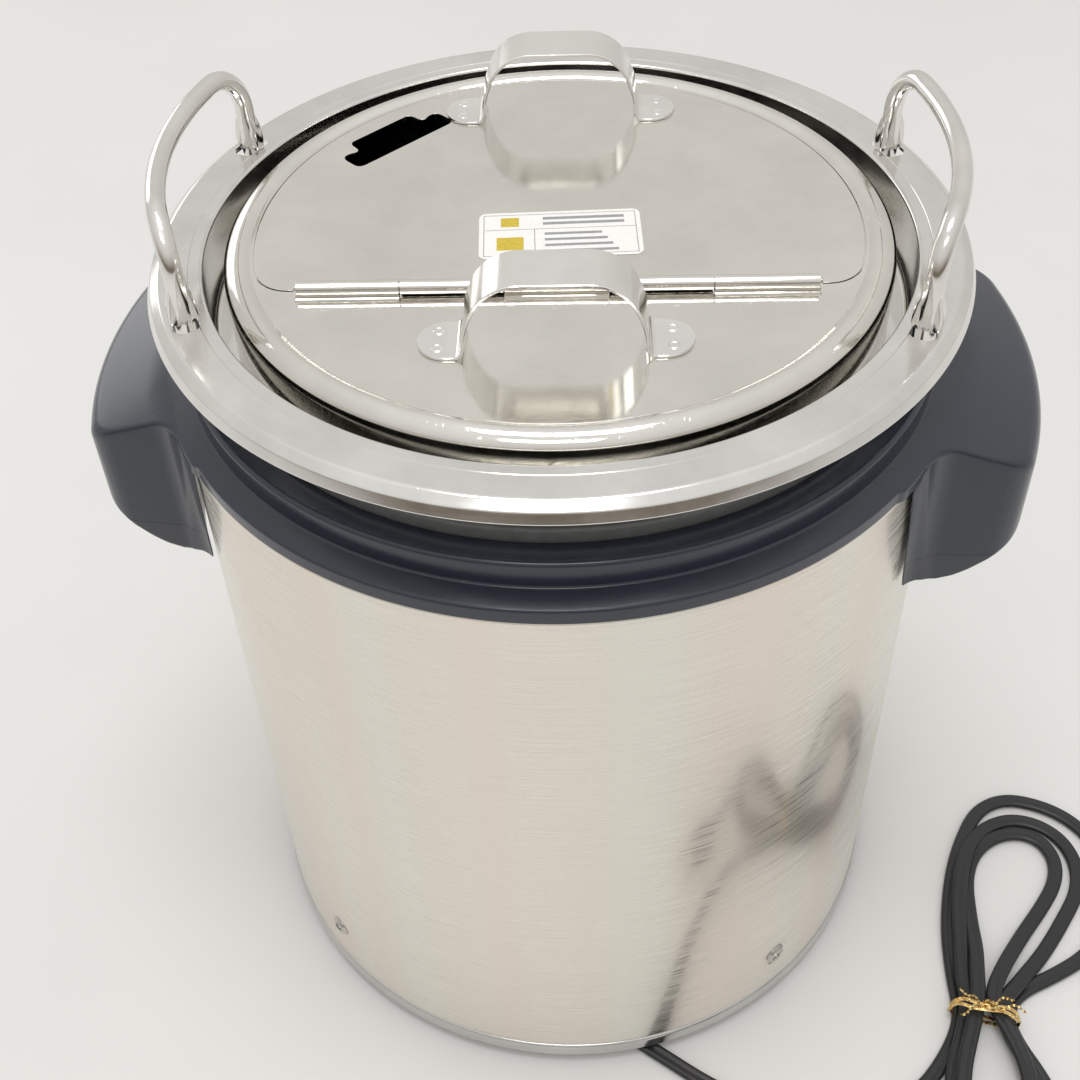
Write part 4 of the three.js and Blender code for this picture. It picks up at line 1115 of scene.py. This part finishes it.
def heated_well():
    wall = 0.8
    outer, flange = 121.8, SHELF_Z - 2.8
    well = lathe("warming_well", rounded([
        [12, 50, 0], [outer, 50, 5], [outer, flange - wall, 0.8], [133, flange - wall, 0.2],
        [133, flange, 0.2], [outer - wall, flange, 1.2], [outer - wall, 50 + wall, 4.3], [12, 50 + wall, 0],
    ]))
    settle(well, "root", "sheet_steel", "sheet", "heating_well")
    cap = spindle("sensor_button", [
        [0, 32, 0], [3, 32, 0.4], [3, 58.7, 0.2], [9, 58.7, 0.4], [9, 61.8, 1.0], [0, 61.8, 0],
    ], 64)
    settle(cap, "sensor_plunger", "sheet_steel", "sheet", "sensor_cap")
    low, high, turns, coil, wire = 38.6, 57.7, 4, 5.5, 0.5
    line = np.array([(coil * cos(a), coil * sin(a), low + (high - low) * a / (TAU * turns))
                     for a in np.linspace(0, TAU * turns, 40 * turns + 1)])
    spring = swept("sensor_coil", line, [(wire * cos(a), wire * sin(a))
                                         for a in np.linspace(0, TAU, 13)[:-1]])
    settle(spring, "root", "screw_steel", "screw", "sensor_spring")
    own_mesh(spring)


heated_well()

# ---------------- pot

GRIP_R = 135.0
GRIP_ANGLE = 25


def inner_pot():
    wall = 1.2
    mouth, inner = POT_MOUTH_R - wall, POT_R - wall
    lip = FLANGE_R
    pot = spindle("steel_pot", [
        [0, POT_BOTTOM, 0], [POT_R, POT_BOTTOM, 12], [POT_R, POT_STEP_Z, 1.7],
        [POT_MOUTH_R, POT_STEP_Z, 1.8], [POT_MOUTH_R, FLANGE_TOP - wall, 1.4],
        [lip - 4.0, FLANGE_TOP - wall, 0.8], [lip - 1.4, 340.2, 0.8], [lip - 0.2, 336.7, 0.3],
        [lip + 1.3, 336.7, 0.5], [lip - 0.3, 340.8, 1.5], [lip - 3.6, FLANGE_TOP, 2.6],
        [131.3, FLANGE_TOP, 0.05], [131.05, FLANGE_TOP - 0.25, 0.05], [130.8, FLANGE_TOP - 0.03, 0.05],
        [mouth, FLANGE_TOP - 0.12, 1.2], [mouth, POT_STEP_Z + wall, 2.5],
        [inner, POT_STEP_Z + wall, 1.5], [inner, POT_BOTTOM + wall, 10.8], [0, POT_BOTTOM + wall, 0],
    ], 240, step=9)
    slots = []
    for i, degrees in enumerate((-GRIP_ANGLE, GRIP_ANGLE, 180 - GRIP_ANGLE, 180 + GRIP_ANGLE)):
        slot = plate(f"foot_slot_{i}", [round_box(4.3, 7, 3)], FLANGE_TOP - 4, FLANGE_TOP + 2, 0.01)
        slots.append(turned(moved(slot, GRIP_R), degrees))
    pot = turned(cut(pot, merged("foot_slots", slots)), POT_TURN)
    pot.name = "pot_shell"
    settle(pot, "pot", "pot_steel", "pot", "inner_pot")
    for side, word in ((0, "left"), (180, "right")):
        handle = turned(wire_handle(word), side + POT_TURN)
        settle(handle, "pot", "handle_steel", "handle", f"pot_handle_{word}")


def wire_handle(word):
    """A steel rod bent into a grip that follows the flange, pinched where its feet rest on it."""
    rod, rise, corner = 3.5, 34.0, 18.0
    foot = radians(GRIP_ANGLE) * GRIP_R
    low, top = FLANGE_TOP - 4.7, FLANGE_TOP + rise
    flat = rounded([[-foot, low, 0], [-foot, top, corner], [foot, top, corner], [foot, low, 0]],
                   closed=False, step=6)
    line = np.array([(GRIP_R * cos(s / GRIP_R), GRIP_R * sin(s / GRIP_R), z)
                     for s, z in evenly(flat, 1.5)])
    sections = []
    for here, forward in zip(line, directions(line)):
        out = np.array([here[0], here[1], 0.0])
        out /= np.linalg.norm(out)
        side = np.cross(forward, out)
        side /= np.linalg.norm(side)
        out = np.cross(side, forward)
        pinch = pinched(here[2] - FLANGE_TOP)
        wide, thick = rod * (1 + 0.05 * pinch), rod * (1 - 0.12 * pinch)
        sections.append([tuple(here + out * wide * cos(a) + side * thick * sin(a))
                         for a in circle(24)])
    parts = [skin(f"rod_{word}", sections, 60)]
    for end in (-1, 1):
        for out in (-1, 1):
            parts.append(turned(moved(pinch_ear(f"ear_{word}_{end}_{out}", out), GRIP_R), GRIP_ANGLE * end))
    return merged(f"wire_handle_{word}", parts, 50)


def pinched(height):
    return max(0.0, 1 - abs(height - 7.0) / 6.0) if height > 0 else 0.0


def pinch_ear(name, out):
    """One squeezed-out ear on the rod, its foot on the flange and a dished outer face."""
    sections = []
    for z, reach_out, half in ((0.15, 4.7, 1.8), (0.5, 5.2, 2.3), (2, 5.4, 2.6), (6, 5.3, 2.5),
                               (9, 4.9, 2.3), (11.5, 4.1, 2.2), (13.5, 3.2, 2.0)):
        ring = []
        for a in circle(20):
            x, y = squarish(cos(a), 0.6), squarish(sin(a), 0.6)
            dish = 0.7 * max(0.0, x) ** 4 * (1 - y * y)
            ring.append((out * (1.5 + (reach_out - 1.5) * (x + 1) / 2 - dish), half * y, FLANGE_TOP + z))
        sections.append(ring)
    return skin(name, sections, 50)


inner_pot()

# ---------------- lid


def flap_outline(grow):
    corner_y = FLAP_REAR_Y - FLAP_CORNER
    corner_x = sqrt((FLAP_R - FLAP_CORNER) ** 2 - corner_y ** 2)
    turn = atan2(corner_y, corner_x)
    line = arc_points(0, 0, FLAP_R + grow, pi - turn, TAU + turn, 160)
    line += arc_points(corner_x, corner_y, FLAP_CORNER + grow, turn, pi / 2, 16)
    line += arc_points(-corner_x, corner_y, FLAP_CORNER + grow, pi / 2, pi - turn, 16)
    return line[:-1]


def arc_points(x, y, radius, start, end, steps):
    return [(x + radius * cos(a), y + radius * sin(a))
            for a in np.linspace(start, end, steps + 1)]


def ladle_slot():
    """The ladle notch's outline, with its narrow part outermost."""
    half = [(21, 82.8)] + quadratic((21, 82.8), (24, 83), (24, 86), 6)[1:]
    half += quadratic((24, 90.5), (23.5, 94.5), (19.5, 93.5), 6)
    half += quadratic((19.5, 93.5), (15.5, 91.5), (15.5, 95.5), 6)[1:]
    half += quadratic((15.5, 95.5), (15.5, 100), (12.5, 100), 6)[1:]
    outline = half + [(-x, y) for x, y in reversed(half)]
    a = radians(-135)
    return [(x * cos(a) - y * sin(a), x * sin(a) + y * cos(a)) for x, y in outline]


def hinge_rings(stations, count):
    """Circles round the hinge line, one for each (x, radius)."""
    return [[(x, HINGE_Y + r * cos(a), HINGE_Z + r * sin(a)) for a in circle(count)]
            for x, r in stations]


def knuckle(index, on_base):
    """One rolled barrel of the hinge with its leaf."""
    pitch = 2 * HINGE_HALF_X / 5
    gap = 0.12
    start = -HINGE_HALF_X + index * pitch + gap
    end = start + pitch - 2 * gap
    barrel, bore = 2.5, 1.45
    rings = hinge_rings(((start, bore), (start, barrel - 0.2), (start + 0.2, barrel), (end - 0.2, barrel),
                         (end, barrel - 0.2), (end, bore)), 40)
    tube = skin(f"barrel_{index}", rings, 32, closed=True)
    side = 1 if on_base else -1
    base = (LEDGE_TOP if on_base else FLAP_TOP) - 0.4
    low = base - HINGE_Z
    leaf_line = [(0.6, low), (4.0, low), (4.0, -1.9), (3.7, -1.6), (0.6, -1.6)]
    leaf = skin(f"leaf_{index}", [[(x, HINGE_Y + side * y, HINGE_Z + z) for y, z in leaf_line]
                                  for x in (start, end)])
    return [tube, leaf]


def lid_base():
    """The pressed lid: rolled bead and skirt, the flat behind the hinge, the ledge under the flap."""
    wall = 1.0
    under = LEDGE_TOP - wall
    seat = POT_STEP_Z + 1.5
    bead = smooth_line([(109.55, 344.62), (110.6, 345.25), (112.6, 345.85), (115.0, 345.3), (117.2, 343.9),
                        (LID_R - 0.4, 342.1), (LID_R, 340.2)], 0.45)
    profile = [(108.2, 343.9), (109.15, 344.3)] + [tuple(p) for p in bead]
    profile += [tuple(p) for p in rounded([
        [LID_R, 339, 0], [LID_R, seat, 0.4], [118.2, seat, 0.4], [118.2, 339.4, 3], [115.5, 342.6, 2],
        [112.5, under + 1.6, 1], [108.2, under, 0],
    ], closed=False)]
    rim = lathe("rim", profile, 240)
    notch = HINGE_HALF_X + 0.3
    rear = FLAP_REAR_Y + 0.45
    hole = flap_outline(0.45)
    at = next(i for i, (x, y) in enumerate(hole) if x < 0 and y > rear - 0.01)
    hole[at:at] = [(notch, rear), (notch, HINGE_Y + 2.9), (-notch, HINGE_Y + 2.9), (-notch, rear)]
    flat = plate("flat", [arc_points(0, 0, 109.35, 0, TAU, 240)[:-1], hole], LEDGE_TOP - 0.3, LID_TOP, 0.1)
    edge = asin(31.7 / LEDGE_R)
    opening = arc_points(0, 0, LEDGE_R, pi - edge, TAU + edge, 160)
    ledge = plate("ledge", [arc_points(0, 0, 108.6, 0, TAU, 240)[:-1], opening], under, LEDGE_TOP, 0.15)
    return [rim, flat, ledge]


def lid_pieces():
    barrels = [part for i in (0, 2, 4) for part in knuckle(i, True)]
    base = merged("lid_base_pressing", lid_base() + barrels)
    settle(turned(base, LID_TURN), "lid", "lid_steel", "lid", "lid_base")
    flap = plate("flap", [flap_outline(0), ladle_slot()], FLAP_TOP - 1, FLAP_TOP, 0.15)
    flap = merged("flap_plate", [flap] + [part for i in (1, 3) for part in knuckle(i, False)])
    settle(turned(flap, LID_TURN), "flap", "lid_steel", "lid", "lid_flap")
    reach_x = HINGE_HALF_X + 0.8
    pin = skin("hinge_rod", hinge_rings(((-reach_x, 0.8), (-reach_x + 0.3, 1.15), (reach_x - 0.3, 1.15),
                                         (reach_x, 0.8)), 24))
    settle(turned(pin, LID_TURN), "lid", "screw_steel", "screw", "hinge_pin")
    for name, y, sheet, body, node in (
            ("lid_strap", 68, LID_TOP, "lid", "rear_strap_handle"),
            ("flap_strap", -82, FLAP_TOP, "flap", "front_strap_handle")):
        settle(turned(strap(name, y, sheet), LID_TURN), body, "handle_steel", "strap", node)


def strap(name, centre_y, sheet):
    """A bent steel strip: round feet spot-welded to the sheet, two legs and a flat grip."""
    thick, half, tab, leg = 1.2, 10.0, 45.0, 30.0
    low, high = sheet + 0.08 + thick / 2, sheet + 28.5 - thick / 2
    half_line = [[tab, low, 0], [leg - 0.6, low, 3.4], [leg - 0.6, low + 9, 22], [leg - 8, high, 17]]
    line = rounded([[-x, z, r] for x, z, r in half_line] + half_line[::-1], closed=False, step=6)
    line = evenly(line, 0.8)
    sections = []
    for (x, z), (dx, dz) in zip(line, directions(line)):
        past = abs(x) - (tab - half)
        wide = half if past <= 0 or z > low + 1 else sqrt(max(half ** 2 - past ** 2, 0.3))
        flat = wide - 0.25
        sections.append([(x - dz * v, centre_y + u, z + dx * v) for u, v in (
            (-wide, -0.5), (-flat, -0.6), (flat, -0.6), (wide, -0.35),
            (wide, 0.35), (flat, 0.6), (-flat, 0.6), (-wide, 0.35))])
    parts = [skin(name + "_strip", sections, 38)]
    for side in (-1, 1):
        for dy in (-4.6, 4.6):
            spot = lathe(f"{name}_spot_{side}_{dy}", [[0, -0.3], [2.0, -0.3], [2.0, 0.0], [1.6, 0.22],
                                                      [1.15, 0.0], [0, -0.05]], 32, 60)
            parts.append(moved(spot, side * 38, centre_y + dy, sheet + 0.08 + thick))
    return merged(name, parts, 38)


def label():
    """A plain sticker: a thin frame line, pale grey bars and two amber blocks, without lettering."""
    sheet = FLAP_TOP + 0.05
    film = plate("film", [round_box(28.75, 14.5, 3)], sheet, sheet + 0.22, 0.04)
    prints = {"print": [], "amber": []}

    def block(kind, x0, y0, x1, y1):
        part = plate(f"block_{kind}_{len(prints[kind])}", [box_outline(x0, y0, x1, y1)],
                     sheet + 0.19, sheet + 0.245, 0.005)
        prints[kind].append(part)

    for x0, y0, x1, y1 in ((-27, 12.7, 27, 13), (-27, -13, 27, -12.7), (-27.15, -13, -26.85, 13),
                           (26.85, -13, 27.15, 13), (-27, 3.2, 27, 3.5), (-9.2, -13, -8.9, 3.2)):
        block("print", x0, y0, x1, y1)
    for y in (9.2, 5.9):
        block("print", -6, y, 23, y + 1.7)
    for y in (-0.6, -4.2, -7.8, -11.4):
        block("print", -5.5, y, 22 - (y % 3) * 3, y + 1.5)
    block("amber", -22.5, -9.5, -13, -1.5)
    block("amber", -21, 5.2, -14.5, 11)

    def stuck(obj):
        return turned(moved(turned(obj, 182.2), -0.9, 5.8), LID_TURN)

    settle(stuck(film), "flap", "label_film", "label", "lid_label")
    for kind, name in (("print", "label_bars"), ("amber", "label_blocks")):
        settle(stuck(merged(name, prints[kind])), "flap", "label_film", kind)


lid_pieces()
label()

# ---------------- control panel

PANEL_Z = 95.0


def curved(name, half_x, half_z, corner, inner, outer, edge=0.15, middle_z=PANEL_Z):
    """A plate bent round the jacket's front, with round corners."""
    sections = []
    for t in np.linspace(-1, 1, 61):
        x = half_x * sin(t * pi / 2)
        past = max(0.0, abs(x) - (half_x - corner))
        tall = half_z - corner + sqrt(max(corner ** 2 - past ** 2, 0.01))
        sections.append([(x, -sqrt(r * r - x * x), middle_z + z) for r, z in (
            (inner, -tall), (outer - edge, -tall), (outer, -tall + edge), (outer, tall - edge),
            (outer - edge, tall), (inner, tall))])
    return skin(name, sections, 30)


def control_panel():
    outer, button_z, pitch = 145.2, 80.0, 28.0
    face = curved("panel_face", 48.5, 35.5, 5, JACKET_R + 1.1, outer)
    for i in range(3):
        hole = lathe(f"hole_{i}", [[0, -150], [7.4, -150], [7.4, -136], [0, -136]], 48)
        face = cut(face, moved(turned(hole, -90, "X"), (i - 1) * pitch, 0, button_z))
    window_hole = plate("window_hole", [round_box(30, 11, 2)], 136, 160, 0.01)
    face = cut(face, moved(turned(window_hole, 90, "X"), 0, 0, PANEL_Z + 14))
    face.name = "panel_faceplate"
    settle(face, "root", "faceplate", "faceplate", "control_faceplate")
    window = curved("display_glass", 29.7, 10.7, 1.7, 142, JACKET_R + 0.6, 0.3, PANEL_Z + 14)
    settle(window, "root", "display", "display", "display_window")
    for i, body in enumerate(("power_button", "cooler_button", "hotter_button")):
        x = (i - 1) * pitch
        front = sqrt(outer ** 2 - max(0.0, abs(x) - 7) ** 2) + 0.7
        cap = spindle(f"{body}_cap", [
            [0, front, 0], [5, front - 0.25, 3], [7, front - 0.05, 0.8], [7, front - 3.5, 0.1],
            [2.5, front - 3.5, 0], [2.5, 133.5, 0], [0, 133.5, 0],
        ], 64)
        cap = moved(turned(cap, 90, "X"), x, 0, button_z)
        settle(cap, body, "button_plastic", "button", f"button_{i + 1}")
        lamp = spindle(f"lamp_{i + 1}", [
            [0, 144.6, 0], [1.5, 144.6, 0], [1.5, 145.3, 0.3], [0, 145.5, 0]], 32)
        lamp = moved(turned(lamp, 90, "X"), x, outer - sqrt(outer ** 2 - x * x), button_z + 11.5)
        settle(lamp, "root", "display", "lamp")


control_panel()

# ---------------- pieces kept from CAD

KEPT = {
    "control_housing": "panel", "side_heater": "mica", "base_heater": "mica", "insulation_sleeve": "wool",
    "sensor_bracket": "sheet", "thermal_fuse": "screw", "power_board": "board",
    "terminal_block": "terminal", "wiring_harness": "wire", "control_board": "board",
}


for node_name, finish_name in KEPT.items():
    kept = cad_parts[node_name].data.materials
    kept.clear()
    kept.append(FINISHES[finish_name])

# ---------------- floor and light


def floor():
    f = Finish("table_white", (0.80, 0.795, 0.78), 0.5)
    grain = f.spots(3, 3)
    f.shade(grain, 0.3, 0.7, (0.78, 0.775, 0.762), (0.82, 0.815, 0.80))
    mesh = bpy.data.meshes.new("table_top")
    mesh.from_pydata([(x, y, 0) for x, y in box_outline(-3, -3, 3, 3)], [], [(0, 1, 2, 3)])
    obj = add("table_top", mesh)
    obj.data.materials.append(f.material)


def softbox(name, place, aim, size, power):
    data = bpy.data.lights.new(name, "AREA")
    data.shape = "RECTANGLE"
    data.size, data.size_y = size
    data.energy = power
    obj = add(name, data)
    obj.location = place
    obj.rotation_euler = (Vector(aim) - Vector(place)).to_track_quat("-Z", "Y").to_euler()


# The room from the horizon to straight overhead, by height on the unit sphere.
ROOM = ((0.0, (0.62, 0.605, 0.58)), (0.40, (0.68, 0.665, 0.64)), (0.72, (0.75, 0.74, 0.72)),
        (1.0, (0.90, 0.895, 0.885)))
# The same on the +Y side, brown low down, for the reflections in the steel there.
WOOD = ((0.0, (0.16, 0.13, 0.10)), (0.12, (0.36, 0.325, 0.28)), (0.40, (0.67, 0.655, 0.63)),
        (1.0, (0.90, 0.895, 0.885)))


def lights():
    """The room's glow, three soft lamps and a plain view transform."""
    world = bpy.data.worlds.new("room")
    room = Graph(world)
    direction = room.node("SeparateXYZ", {0: room.node("TexCoord").outputs["Generated"]}).outputs
    far_side = room.span(direction[1], 0, 1, 0.1, 0.7)
    glow = room.mix(far_side, room.ramp(direction[2], ROOM), room.ramp(direction[2], WOOD))
    room.fill(room.nodes["Background"], {"Color": glow, "Strength": 1.0})
    bpy.context.scene.world = world
    softbox("ceiling", (0.0, 0.1, 2.2), (0, 0, 0.2), (0.9, 0.5), 10)
    softbox("ceiling_near", (0.0, 1.25, 2.2), (0, 0, 0.3), (0.9, 0.4), 5.5)
    softbox("window", (2.3, -2.4, 1.0), (0, 0, 0.25), (1.4, 1.2), 6.5)
    bpy.context.scene.view_settings.view_transform = "Standard"


floor()
lights()
